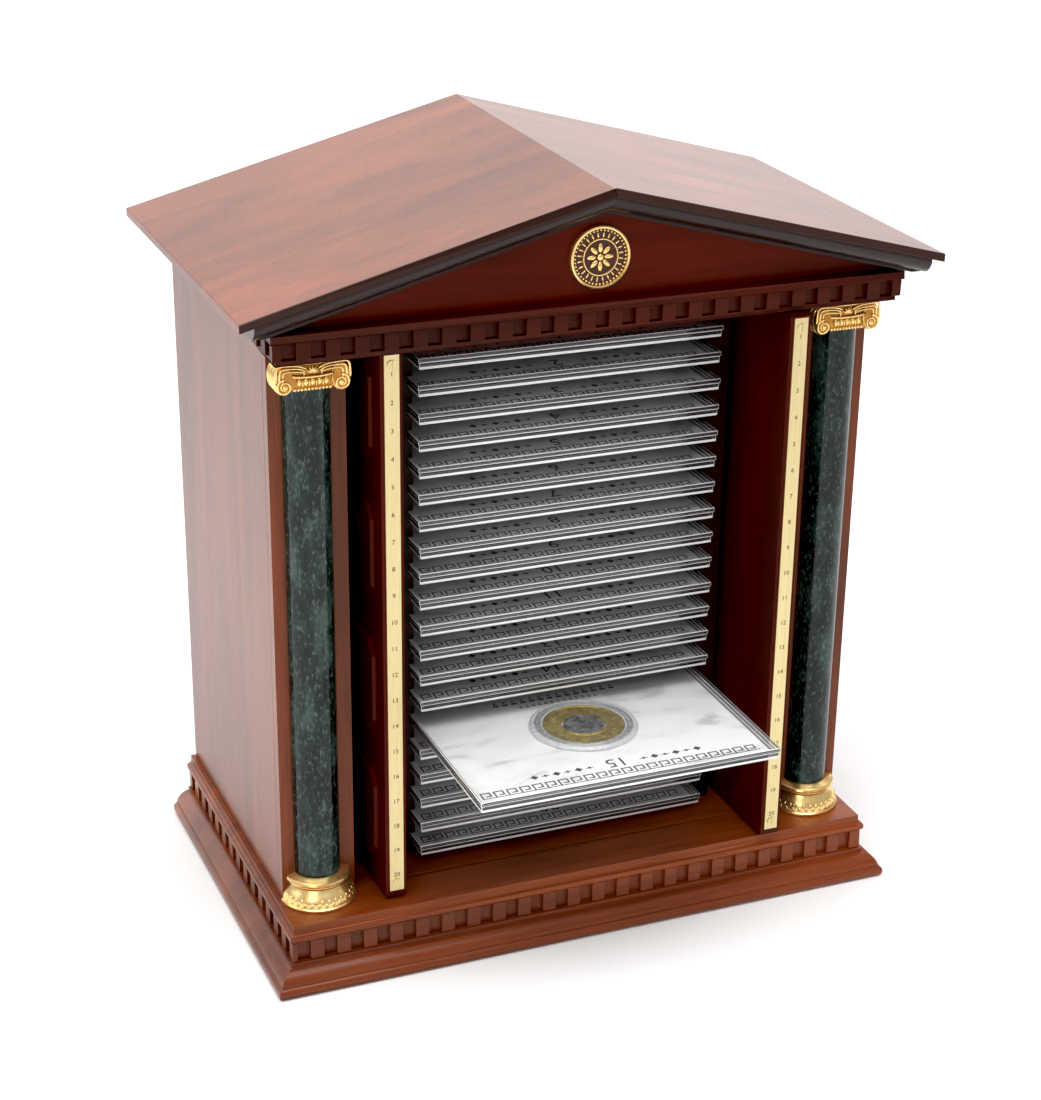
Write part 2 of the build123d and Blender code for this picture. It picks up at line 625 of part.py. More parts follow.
def right_door_pins(reach):
    """The steel pins, above and below, that a door slides and turns on."""
    y = door_front(reach) + DOOR_WIDTH - PIVOT_SETBACK
    lower = (DECK_TOP - PIVOT_REACH, DOOR_BOTTOM + PIVOT_IN_DOOR)
    upper = (DOOR_TOP - PIVOT_IN_DOOR, CEILING + PIVOT_REACH)
    return [upright(PIVOT_RADIUS, DOOR_CENTRE, y, lower), upright(PIVOT_RADIUS, DOOR_CENTRE, y, upper)]


def right_index_strip(reach):
    """The square-ended brass strip on the door's edge."""
    front = door_front(reach)
    y_range = (front - STRIP_THICKNESS, front)
    half = STRIP_WIDTH / 2
    strip = block((DOOR_CENTRE - half, DOOR_CENTRE + half), y_range, strip_span())
    for height in screw_heights():
        strip -= along_y(SCREW_SHANK_RADIUS, DOOR_CENTRE, height, y_range)
    return strip


def right_strip_screws(reach):
    """Slotted screws through the strip into the door."""
    front = door_front(reach)
    face = front - STRIP_THICKNESS
    screws = []
    for height in screw_heights():
        screw = along_y(SCREW_HEAD_RADIUS, DOOR_CENTRE, height, (face - SCREW_HEAD_HEIGHT, face))
        screw += along_y(SCREW_SHANK_RADIUS, DOOR_CENTRE, height, (face, front + SCREW_LENGTH))
        screw -= block((DOOR_CENTRE - SLOT_WIDTH / 2, DOOR_CENTRE + SLOT_WIDTH / 2),
                       (face - SCREW_HEAD_HEIGHT, face - SCREW_HEAD_HEIGHT / 2),
                       (height - SCREW_HEAD_RADIUS, height + SCREW_HEAD_RADIUS))
        screws.append(screw)
    return screws


def pull_place(reach):
    """Centre of the pull's eye: x, y and z."""
    eye_x = DOOR_OUTER + PANEL_RAISE + ROSE_THICKNESS + EYE_HEIGHT
    return eye_x, door_front(reach) + DOOR_WIDTH / 2, panel_centres()[1]


def right_pull_boss(reach):
    """The pull's round rose and the drilled eye that stands on it."""
    eye_x, y, z = pull_place(reach)
    face = DOOR_OUTER + PANEL_RAISE
    rose = along_x(ROSE_RADIUS, y, z, (face, face + ROSE_THICKNESS))
    y_range = (y - EYE_WIDTH / 2, y + EYE_WIDTH / 2)
    eye = along_y(EYE_RADIUS, eye_x, z, y_range)
    neck = block((face, eye_x), y_range, (z - EYE_RADIUS, z + EYE_RADIUS))
    return rose + eye + neck - along_y(EYE_HOLE_RADIUS, eye_x, z, y_range)


def right_pull_ring(reach):
    """The wire ring that hangs through the eye."""
    eye_x, y, z = pull_place(reach)
    return Pos(eye_x, y, z - RING_RADIUS) * Rot(0, 90, 0) * Torus(RING_RADIUS, RING_WIRE_RADIUS)


# ---- coin cases ------------------------------------------------------------------------
def tray_front(number):
    """The y of a case's front edge: each stands a little differently, one is pulled out."""
    if number == OPEN_TRAY:
        return TRAY_FRONT - OPEN_TRAY_PULL
    return TRAY_FRONT - TRAY_PLAY * (1 + sin(number * number)) / 2


def tray_pieces(number):
    """One coin case, as its base, lid, card, capsule, insert and coin."""
    front = tray_front(number)
    back = front + TRAY_DEPTH
    bottom = tray_bottom(number)
    half = TRAY_WIDTH / 2
    inset = TRAY_BASE_INSET
    parting = bottom + TRAY_BASE_HEIGHT
    floor = bottom + TRAY_FLOOR
    inner = half - inset - TRAY_WALL
    inner_y = (front + inset + TRAY_WALL, back - inset - TRAY_WALL)

    base = block((inset - half, half - inset), (front + inset, back - inset), (bottom, parting))
    base -= block((-inner, inner), inner_y, (floor, parting))
    lid = block((-half, half), (front, back), (parting, bottom + TRAY_HEIGHT))
    lid -= block((-inner, inner), inner_y, (parting, bottom + TRAY_HEIGHT - LID_TOP))

    card_half = inner - CARD_CLEARANCE
    card_top = floor + CARD_THICKNESS
    card = block((-card_half, card_half),
                 (inner_y[0] + CARD_CLEARANCE, inner_y[1] - CARD_CLEARANCE), (floor, card_top))

    coin_y = front + CAPSULE_SETBACK
    capsule = upright(CAPSULE_RADIUS, 0, coin_y, (card_top, card_top + CAPSULE_THICKNESS))
    capsule -= upright(INSERT_RADIUS, 0, coin_y, (card_top, card_top + CAPSULE_THICKNESS))
    insert = upright(INSERT_RADIUS, 0, coin_y, (card_top, card_top + INSERT_THICKNESS))
    insert -= upright(COIN_RADIUS + COIN_CLEARANCE, 0, coin_y,
                      (card_top, card_top + INSERT_THICKNESS))
    coin = upright(COIN_RADIUS, 0, coin_y, (card_top, card_top + COIN_THICKNESS))
    return {"base": base, "lid": lid, "card": card, "capsule": capsule, "insert": insert,
            "coin": coin}


# ---- assembly --------------------------------------------------------------------------
def cabinet_nodes():
    """Everything that stays put."""
    panel = side_panel()
    return {
        "plinth_core": plinth_core(),
        "base_mouldings": base_mouldings(),
        "base_dentil_bands": base_dentil_bands(),
        "deck_mouldings": deck_mouldings(),
        "deck_board": deck_board(),
        "left_side_panel": mirrored(panel),
        "right_side_panel": panel,
        "back_panel": back_panel(),
        "pilasters": pilasters(),
        "column_shafts": column_shafts(),
        "column_bases": column_bases(),
        "column_capitals": column_capitals(),
        "ceiling_board": ceiling_board(),
        "fascia_strips": fascia_strips(),
        "entablature_dentils": entablature_dentils(),
        "crown_mouldings": crown_mouldings(),
        "pediment_board": pediment_board(),
        "rear_gable": rear_gable(),
        "raking_cornices": raking_cornices(),
        "roof_panels": roof_panels(),
        "medallion": medallion(),
        "rack_cheeks": rack_cheeks(),
        "rack_base": rack_base(),
    }


def door_nodes():
    """Both doors with their strips, screws, pins and pulls."""
    makers = {
        "door": right_door,
        "door_pins": right_door_pins,
        "index_strip": right_index_strip,
        "strip_screws": right_strip_screws,
        "pull_boss": right_pull_boss,
        "pull_ring": right_pull_ring,
    }
    nodes = {}
    for name, make in makers.items():
        left = make(LEFT_DOOR_REACH)
        if isinstance(left, list):
            nodes["left_" + name] = [mirrored(piece) for piece in left]
        else:
            nodes["left_" + name] = mirrored(left)
        nodes["right_" + name] = make(RIGHT_DOOR_REACH)
    return nodes


def tray_nodes():
    """One node for each closed case; the open case is a node for each of its pieces."""
    nodes = {}
    for number in range(1, TRAY_COUNT + 1):
        pieces = tray_pieces(number)
        name = "tray_{:02d}".format(number)
        if number == OPEN_TRAY:
            for piece_name, piece in pieces.items():
                nodes[name + "_" + piece_name] = piece
        else:
            nodes[name] = list(pieces.values())
    return nodes


def solids_of(shape):
    """Every solid in a shape or a list of shapes."""
    shapes = shape if isinstance(shape, list) else [shape]
    return [solid for one in shapes for solid in one.solids()]


def main():
    """Write one STEP file for each node."""
    os.makedirs("parts", exist_ok=True)
    nodes = {**cabinet_nodes(), **door_nodes(), **tray_nodes()}
    for name, shape in nodes.items():
        export_step(Compound(children=solids_of(shape)), "parts/" + name + ".step")
    print(len(nodes), "nodes written")


if __name__ == "__main__":
    main()
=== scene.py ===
"""Dresses the temple-fronted coin cabinet: woods, marble, gilt, brass and clear coin cases."""

from __future__ import annotations

import logging
import math
from dataclasses import dataclass, field
from enum import Enum
from typing import Any, Callable, Sequence

import bpy
from mathutils import Matrix, Vector

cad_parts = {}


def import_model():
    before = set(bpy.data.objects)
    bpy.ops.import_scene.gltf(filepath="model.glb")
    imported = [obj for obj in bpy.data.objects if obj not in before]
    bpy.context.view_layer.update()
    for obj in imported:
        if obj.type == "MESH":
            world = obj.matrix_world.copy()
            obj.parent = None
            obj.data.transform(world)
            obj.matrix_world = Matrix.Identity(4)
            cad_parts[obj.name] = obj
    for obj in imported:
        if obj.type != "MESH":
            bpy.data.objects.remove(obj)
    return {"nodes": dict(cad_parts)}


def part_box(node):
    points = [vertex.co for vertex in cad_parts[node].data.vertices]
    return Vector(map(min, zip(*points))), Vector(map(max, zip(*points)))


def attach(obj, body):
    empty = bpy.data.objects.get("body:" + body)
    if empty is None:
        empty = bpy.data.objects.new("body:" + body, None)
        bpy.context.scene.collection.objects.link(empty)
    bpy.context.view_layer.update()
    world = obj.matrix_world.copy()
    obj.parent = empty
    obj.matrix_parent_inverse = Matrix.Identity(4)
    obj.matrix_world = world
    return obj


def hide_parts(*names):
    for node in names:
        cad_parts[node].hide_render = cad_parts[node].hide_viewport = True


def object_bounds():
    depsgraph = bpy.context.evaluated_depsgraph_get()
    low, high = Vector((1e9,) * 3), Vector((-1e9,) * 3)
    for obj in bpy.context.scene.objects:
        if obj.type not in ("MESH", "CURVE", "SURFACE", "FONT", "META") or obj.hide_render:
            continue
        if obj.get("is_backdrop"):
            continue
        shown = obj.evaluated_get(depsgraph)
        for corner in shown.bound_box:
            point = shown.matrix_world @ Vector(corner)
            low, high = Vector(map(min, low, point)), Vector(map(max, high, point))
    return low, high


LOG = logging.getLogger("coin_cabinet")
MM = 0.001
TRAY_COUNT = 20
OPEN_TRAY = 15
Colour = tuple[float, float, float]
Point = tuple[float, float, float]
Piece = bpy.types.Object
Material = bpy.types.Material
SEAM = 0.004 * MM


def mm(*lengths: float) -> tuple[float, ...]:
    """Turn millimetres into metres."""
    return tuple(length * MM for length in lengths)


class Grain(Enum):
    """The direction that a board's grain runs in."""

    SIDEWAYS = 0
    DEEP = 1
    UPRIGHT = 2


# ---- shader writing --------------------------------------------------------------------
class Wire:
    """A shader socket that arithmetic can be written on."""

    def __init__(self, tree: "ShaderTree", socket: bpy.types.NodeSocket) -> None:
        """Keep the tree and the socket."""
        self.tree = tree
        self.socket = socket

    def math(self, operation: str, *values: Any) -> "Wire":
        """Add a Math node.

        Args:
            operation: Blender's name for the operation.
            values: the operands, as wires or numbers.

        Returns:
            The node's output.
        """
        node = self.tree.node("ShaderNodeMath", {"operation": operation}, dict(enumerate(values)))
        return Wire(self.tree, node.outputs[0])

    def __add__(self, other: Any) -> "Wire":
        """Sum."""
        return self.math("ADD", self, other)

    def __mul__(self, other: Any) -> "Wire":
        """Product."""
        return self.math("MULTIPLY", self, other)

    def __sub__(self, other: Any) -> "Wire":
        """Difference."""
        return self.math("SUBTRACT", self, other)

    def step(self, low: float, high: float) -> "Wire":
        """Rise from 0 to 1 between two values.

        Args:
            low: where it leaves 0.
            high: where it reaches 1.

        Returns:
            The clamped ramp.
        """
        node = self.tree.node("ShaderNodeMapRange", {"clamp": True},
                              {"Value": self, "From Min": low, "From Max": high})
        return Wire(self.tree, node.outputs["Result"])


class ShaderTree:
    """One material and the nodes behind its Principled shader."""

    def __init__(self, name: str) -> None:
        """Make an empty material around one Principled shader."""
        self.material = bpy.data.materials.new(name)
        self.material.use_nodes = True
        self.tree = self.material.node_tree
        self.shader = self.tree.nodes["Principled BSDF"]

    def node(self, kind: str, settings: dict[str, Any], inputs: dict[Any, Any]) -> bpy.types.Node:
        """Add any node.

        Args:
            kind: the node's type.
            settings: its own settings, set first; "stops" holds a ramp's stops.
            inputs: values or wires for its sockets.

        Returns:
            The node.
        """
        node = self.tree.nodes.new(kind)
        stops = settings.pop("stops", None)
        for key, value in settings.items():
            setattr(node, key, value)
        if stops:
            ramp = node.color_ramp
            while len(ramp.elements) < len(stops):
                ramp.elements.new(0.5)
            for element, (place, colour) in zip(ramp.elements, stops):
                element.position = place
                element.color = (*colour, 1.0)
        for key, value in inputs.items():
            if isinstance(value, Wire):
                self.tree.links.new(value.socket, node.inputs[key])
            else:
                node.inputs[key].default_value = value
        return node

    def place(self, scale: Point = (1.0, 1.0, 1.0), turn: Point = (0.0, 0.0, 0.0)) -> Wire:
        """Object coordinates, stretched and turned.

        Args:
            scale: the stretch along each axis.
            turn: the turn about each axis, in radians.

        Returns:
            The mapped coordinates.
        """
        source = self.node("ShaderNodeTexCoord", {}, {})
        mapped = self.node("ShaderNodeMapping", {},
                           {"Vector": Wire(self, source.outputs["Object"]),
                            "Scale": scale, "Rotation": turn})
        return Wire(self, mapped.outputs["Vector"])

    def noise(self, where: Wire, scale: float, detail: float = 4.0, bend: float = 0.0) -> Wire:
        """Cloudy noise.

        Args:
            where: the coordinates.
            scale: its fineness.
            detail: its octaves.
            bend: its distortion.

        Returns:
            The noise, from 0 to 1.
        """
        node = self.node("ShaderNodeTexNoise", {}, {"Vector": where, "Scale": scale,
                                                    "Detail": detail, "Distortion": bend})
        return Wire(self, node.outputs[0])

    def mix(self, amount: Any, low: Any, high: Any) -> Wire:
        """Blend two colours.

        Args:
            amount: how much of the second.
            low: the first colour.
            high: the second colour.

        Returns:
            The blend.
        """
        pair = [(*c, 1.0) if isinstance(c, tuple) else c for c in (low, high)]
        node = self.node("ShaderNodeMix", {"data_type": "RGBA"},
                         {0: amount, 6: pair[0], 7: pair[1]})
        return Wire(self, node.outputs[2])

    def ramp(self, value: Wire, stops: list[tuple[float, Colour]]) -> Wire:
        """Colour a value by stops.

        Args:
            value: the value to colour.
            stops: places and colours.

        Returns:
            The colour.
        """
        node = self.node("ShaderNodeValToRGB", {"stops": stops}, {"Fac": value})
        return Wire(self, node.outputs["Color"])

    def feed(self, socket: str, value: Any) -> None:
        """Set or link one socket of the shader."""
        if isinstance(value, Wire):
            self.tree.links.new(value.socket, self.shader.inputs[socket])
        elif isinstance(value, tuple):
            self.shader.inputs[socket].default_value = (*value, 1.0)
        else:
            self.shader.inputs[socket].default_value = value

    def emboss(self, height: Wire, depth: float, strength: float = 1.0) -> None:
        """Bump the surface.

        Args:
            height: the relief, from 0 to 1.
            depth: its real depth in metres.
            strength: how much of it shows.
        """
        node = self.node("ShaderNodeBump", {}, {"Height": height, "Distance": depth,
                                                "Strength": strength})
        self.tree.links.new(node.outputs["Normal"], self.shader.inputs["Normal"])


# ---- finishes --------------------------------------------------------------------------
@dataclass(frozen=True)
class Mahogany:
    """Satin-lacquered mahogany, with its grain along one axis."""

    name: str
    grain: Grain
    dark: Colour = (0.066, 0.0105, 0.0032)
    light: Colour = (0.285, 0.066, 0.0175)
    gloss: float = 0.34
    lacquer: float = 0.50
    warmth: Colour = (1.0, 0.84, 0.74)
    dark_end: float | None = None
    end_tone: Colour = (0.030, 0.0050, 0.0020)

    def stretched(self, amount: float) -> Point:
        """Stretch a pattern along the grain only."""
        return tuple(amount if axis == self.grain.value else 1.0 for axis in range(3))

    def build(self) -> Material:
        """Streaky figure, fine fibre and short pores under a thin lacquer."""
        shader = ShaderTree(self.name)
        fine = shader.place(self.stretched(0.035))
        figure = shader.noise(shader.place(self.stretched(0.14)), 34.0, 5.0, 0.9)
        fibre = shader.noise(fine, 420.0, 4.0, 0.2)
        pores = shader.noise(fine, 1500.0, 2.0).step(0.60, 0.70)
        cloud = shader.noise(shader.place(), 9.0, 2.0)
        tone = (figure * 0.62 + fibre * 0.26 + cloud * 0.24).step(0.34, 0.78)
        middle = tuple((a * 0.55 + b * 0.45) for a, b in zip(self.dark, self.light))
        colour = shader.ramp(tone, [(0.0, self.dark), (0.45, middle), (1.0, self.light)])
        colour = shader.mix(pores * 0.45, colour, self.dark)
        if self.dark_end is not None:
            parts = shader.node("ShaderNodeSeparateXYZ", {}, {"Vector": shader.place()})
            inward = Wire(shader, parts.outputs["Y"]).step(self.dark_end, self.dark_end + 0.2 * MM)
            colour = shader.mix(inward, self.end_tone, colour)
        shader.feed("Base Color", colour)
        shader.feed("Roughness", fibre * 0.10 + self.gloss - 0.05 + pores * 0.08)
        shader.feed("IOR", 1.40)
        shader.feed("Specular Tint", self.warmth)
        shader.feed("Coat Weight", self.lacquer)
        shader.feed("Coat IOR", 1.35)
        shader.feed("Coat Roughness", 0.20)
        shader.emboss(fibre * 0.6 - pores * 0.7, 0.00004, 0.5)
        return shader.material


@dataclass(frozen=True)
class GreenMarble:
    """Polished dark green marble with pale streaks and specks."""

    name: str = "polished_green_marble"

    def build(self) -> Material:
        """Clouded green body, pale streaks and a scatter of specks."""
        shader = ShaderTree(self.name)
        body = shader.noise(shader.place((1.0, 1.0, 0.55), (0.3, 0.2, 0.0)), 70.0, 9.0, 0.5)
        streak = shader.noise(shader.place((1.0, 1.0, 0.30), (0.18, 0.12, 0.0)), 210.0, 9.0, 0.4)
        speck = shader.noise(shader.place((1.0, 1.0, 0.5)), 850.0, 7.0)
        tone = body * 0.40 + streak * 0.38 + speck * 0.22
        colour = shader.ramp(tone, [(0.43, (0.0010, 0.0034, 0.0026)),
                                    (0.50, (0.0070, 0.0200, 0.0150)),
                                    (0.585, (0.038, 0.070, 0.058))])
        colour = shader.mix(speck.step(0.56, 0.68) * 0.42, colour, (0.15, 0.19, 0.175))
        shader.feed("Base Color", colour)
        shader.feed("Roughness", body * 0.12 + 0.12)
        shader.feed("Specular IOR Level", 0.25)
        shader.feed("Coat Weight", 0.45)
        shader.feed("Coat Roughness", 0.07)
        return shader.material


@dataclass(frozen=True)
class Gilt:
    """Gilding whose tone and gloss wander over a faint grain."""

    name: str = "gilt"
    low: Colour = (0.98, 0.64, 0.23)
    high: Colour = (1.0, 0.79, 0.40)

    def build(self) -> Material:
        """Cloudy gold over a fine grain."""
        shader = ShaderTree(self.name)
        cloud = shader.noise(shader.place(), 160.0, 4.0)
        grain = shader.noise(shader.place(), 1900.0, 2.0)
        shader.feed("Base Color", shader.mix(cloud, self.low, self.high))
        shader.feed("Roughness", cloud * 0.14 + grain * 0.06 + 0.16)
        shader.feed("Metallic", 0.90)
        shader.emboss(grain, 0.00004, 0.25)
        return shader.material


@dataclass(frozen=True)
class BrushedBrass:
    """Brass rubbed lengthwise."""

    name: str = "brushed_brass"

    def build(self) -> Material:
        """Long fine streaks in tone, gloss and relief."""
        shader = ShaderTree(self.name)
        cloud = shader.noise(shader.place(), 160.0, 4.0)
        streak = shader.noise(shader.place((1.0, 1.0, 0.02)), 2600.0, 3.0)
        shader.feed("Base Color", shader.mix(streak, (0.66, 0.53, 0.27), (0.86, 0.74, 0.44)))
        shader.feed("Roughness", streak * 0.16 + cloud * 0.10 + 0.26)
        shader.feed("Metallic", 1.0)
        shader.emboss(streak, 0.00003, 0.4)
        return shader.material


@dataclass(frozen=True)
class ClearPlastic:
    """Clear moulded plastic; its edges look whiter than its faces, which near-opaque copies paint
    as highlights, with a dark copy painting the shade seen through its walls.
    """

    name: str
    cover: float
    tone: Colour = (0.80, 0.82, 0.84)

    def build(self) -> Material:
        """A thin see-through skin with faint scuffs."""
        shader = ShaderTree(self.name)
        scuff = shader.noise(shader.place((1.0, 0.3, 1.0)), 700.0, 3.0)
        shader.feed("Base Color", self.tone)
        shader.feed("Roughness", scuff * 0.08 + 0.03)
        shader.feed("Alpha", scuff * 0.03 + self.cover)
        shader.feed("IOR", 1.49)
        shader.feed("Coat Weight", 1.0)
        shader.feed("Coat Roughness", 0.03)
        return shader.material


@dataclass(frozen=True)
class PrintedCard:
    """White card printed with a soft grey marble pattern."""

    name: str = "printed_card"

    def build(self) -> Material:
        """Drifting grey bands over white."""
        shader = ShaderTree(self.name)
        drift = shader.noise(shader.place((0.5, 1.0, 1.0), (0.0, 0.0, 0.25)), 42.0, 6.0, 1.6)
        fleck = shader.noise(shader.place(), 1200.0, 2.0)
        colour = shader.ramp(drift, [(0.34, (0.62, 0.62, 0.605)), (0.46, (0.90, 0.90, 0.89)),
                                     (0.60, (0.96, 0.96, 0.955))])
        colour = shader.mix(fleck.step(0.55, 0.75) * 0.06, colour, (0.5, 0.5, 0.5))
        shader.feed("Base Color", colour)
        shader.feed("Roughness", fleck * 0.08 + 0.38)
        return shader.material


@dataclass(frozen=True)
class WornMetal:
    """A struck or printed metal surface, toned in patches."""

    name: str
    low: Colour
    high: Colour
    roughness: float

    def build(self) -> Material:
        """Patchy toning over soft relief."""
        shader = ShaderTree(self.name)
        patch = shader.noise(shader.place(), 260.0, 6.0, 1.0)
        relief = shader.noise(shader.place(), 620.0, 4.0, 2.5)
        shader.feed("Base Color", shader.mix(patch.step(0.35, 0.68), self.low, self.high))
        shader.feed("Metallic", 0.9)
        shader.feed("Roughness", patch * 0.2 + self.roughness)
        shader.emboss(relief, 0.00025, 0.6)
        return shader.material


@dataclass(frozen=True)
class Mottled:
    """A plain finish whose tone and gloss wander together."""

    name: str
    low: Colour
    high: Colour
    fineness: float
    octaves: float = 2.0
    gloss: tuple[float, float] = (0.1, 0.45)
    stretch: Point = (1.0, 1.0, 1.0)
    metallic: float = 0.0
    coat: float = 0.0

    def build(self) -> Material:
        """Blend two tones by one noise that also moves the roughness."""
        shader = ShaderTree(self.name)
        cloud = shader.noise(shader.place(self.stretch), self.fineness, self.octaves)
        span, least = self.gloss
        shader.feed("Base Color", shader.mix(cloud, self.low, self.high))
        shader.feed("Roughness", cloud * span + least if span else least)
        shader.feed("Metallic", self.metallic)
        shader.feed("Coat Weight", self.coat)
        return shader.material


def ink(name: str, tone: Colour) -> Material:
    """Slightly uneven flat printing ink."""
    return Mottled(name, tone, tuple(c * 1.6 + 0.01 for c in tone), 2500.0).build()


def frosted(name: str, low: Colour, high: Colour) -> Material:
    """Milky plastic with a soft sheen."""
    return Mottled(name, low, high, 500.0, 3.0, (0.12, 0.22), coat=0.6).build()


class Finishes:
    """Every material, made once."""

    def __init__(self) -> None:
        """Build the whole set."""
        across = Grain.SIDEWAYS
        self.wood = {grain: Mahogany("mahogany_" + grain.name.lower(), grain).build()
                     for grain in Grain}
        self.red_wood = {grain: Mahogany("deep_red_mahogany_" + grain.name.lower(), grain,
                                         (0.034, 0.0018, 0.0008), (0.150, 0.0125, 0.0030),
                                         0.38, 0.08, (1.0, 0.45, 0.35)).build()
                         for grain in Grain}
        # The deck's mahogany, made lighter than the rest: painted light for the lit top of the
        # deck.
        self.deck_wood = Mahogany("deck_mahogany", across, (0.080, 0.0130, 0.0035),
                                  (0.350, 0.0860, 0.0220), 0.36, 0.35).build()
        self.trim_wood = Mahogany("trim_mahogany", across, (0.022, 0.0026, 0.0012),
                                  (0.088, 0.0105, 0.0034), 0.40, 0.08, (1.0, 0.6, 0.5)).build()
        self.cyma_wood = Mahogany("cyma_mahogany", across, (0.008, 0.0026, 0.0018),
                                  (0.026, 0.0080, 0.0055), 0.32, 0.45, (1.0, 0.9, 0.9)).build()
        self.roof_wood = Mahogany("roof_mahogany", across, dark_end=-0.0898).build()
        # The doors' mahogany, made darker than the rest: painted shade for the dark pockets the
        # doors stand in.
        self.door_wood = Mahogany("door_mahogany", Grain.UPRIGHT, (0.024, 0.0012, 0.0006),
                                  (0.110, 0.0085, 0.0022), 0.42, 0.05, (1.0, 0.5, 0.4)).build()
        self.dark_wood = Mahogany("dark_mahogany", Grain.DEEP, (0.006, 0.0014, 0.0008),
                                  (0.022, 0.0045, 0.0020), 0.50, 0.0).build()
        self.marble = GreenMarble().build()
        self.gilt = Gilt().build()
        # A darker copy of the gilt: painted shade for the grooves of the bases, the hollows of the
        # volutes and the bell behind the ornaments.
        self.deep_gilt = Gilt("deep_gilt", (0.30, 0.12, 0.025), (0.62, 0.32, 0.08)).build()
        self.brushed = BrushedBrass().build()
        self.polished = Mottled("polished_brass", (0.62, 0.42, 0.16), (0.80, 0.60, 0.28),
                                160.0, 4.0, (0.12, 0.12), metallic=1.0).build()
        self.steel = Mottled("ground_steel", (0.40, 0.40, 0.41), (0.62, 0.62, 0.63), 3000.0, 3.0,
                             (0.2, 0.25), (1.0, 1.0, 0.05), metallic=1.0).build()
        self.clear = ClearPlastic("clear_case", 0.03).build()
        # Near-opaque copies of the clear plastic: the dark grey one is painted shade, the dark
        # interior seen through the walls; the white one is a painted highlight on the rounded edges
        # and the foot.
        self.clear_edge = ClearPlastic("clear_case_painted_shade", 0.72, (0.030, 0.031, 0.032)).build()
        self.clear_rim = ClearPlastic("clear_case_painted_highlight", 0.92, (0.95, 0.95, 0.95)).build()
        self.card = PrintedCard().build()
        self.grey_ink = ink("grey_ink", (0.030, 0.030, 0.030))
        self.brown_ink = ink("brown_ink", (0.035, 0.022, 0.010))
        self.enamel = ink("dark_enamel", (0.050, 0.012, 0.006))
        self.frosted = frosted("frosted_rim", (0.50, 0.52, 0.52), (0.74, 0.75, 0.75))
        # A darker copy of the frosted plastic: painted shade for the groove of each capsule.
        self.frosted_well = frosted("frosted_well", (0.24, 0.25, 0.25), (0.44, 0.45, 0.45))
        self.gold_foil = WornMetal("gold_foil", (0.46, 0.34, 0.075), (0.78, 0.62, 0.20),
                                   0.34).build()
        self.old_silver = WornMetal("old_silver", (0.16, 0.16, 0.155), (0.62, 0.62, 0.61),
                                    0.26).build()
        self.floor = Mottled("white_sweep", (0.90, 0.90, 0.90), (0.93, 0.93, 0.93), 3.0,
                             gloss=(0.0, 0.9)).build()


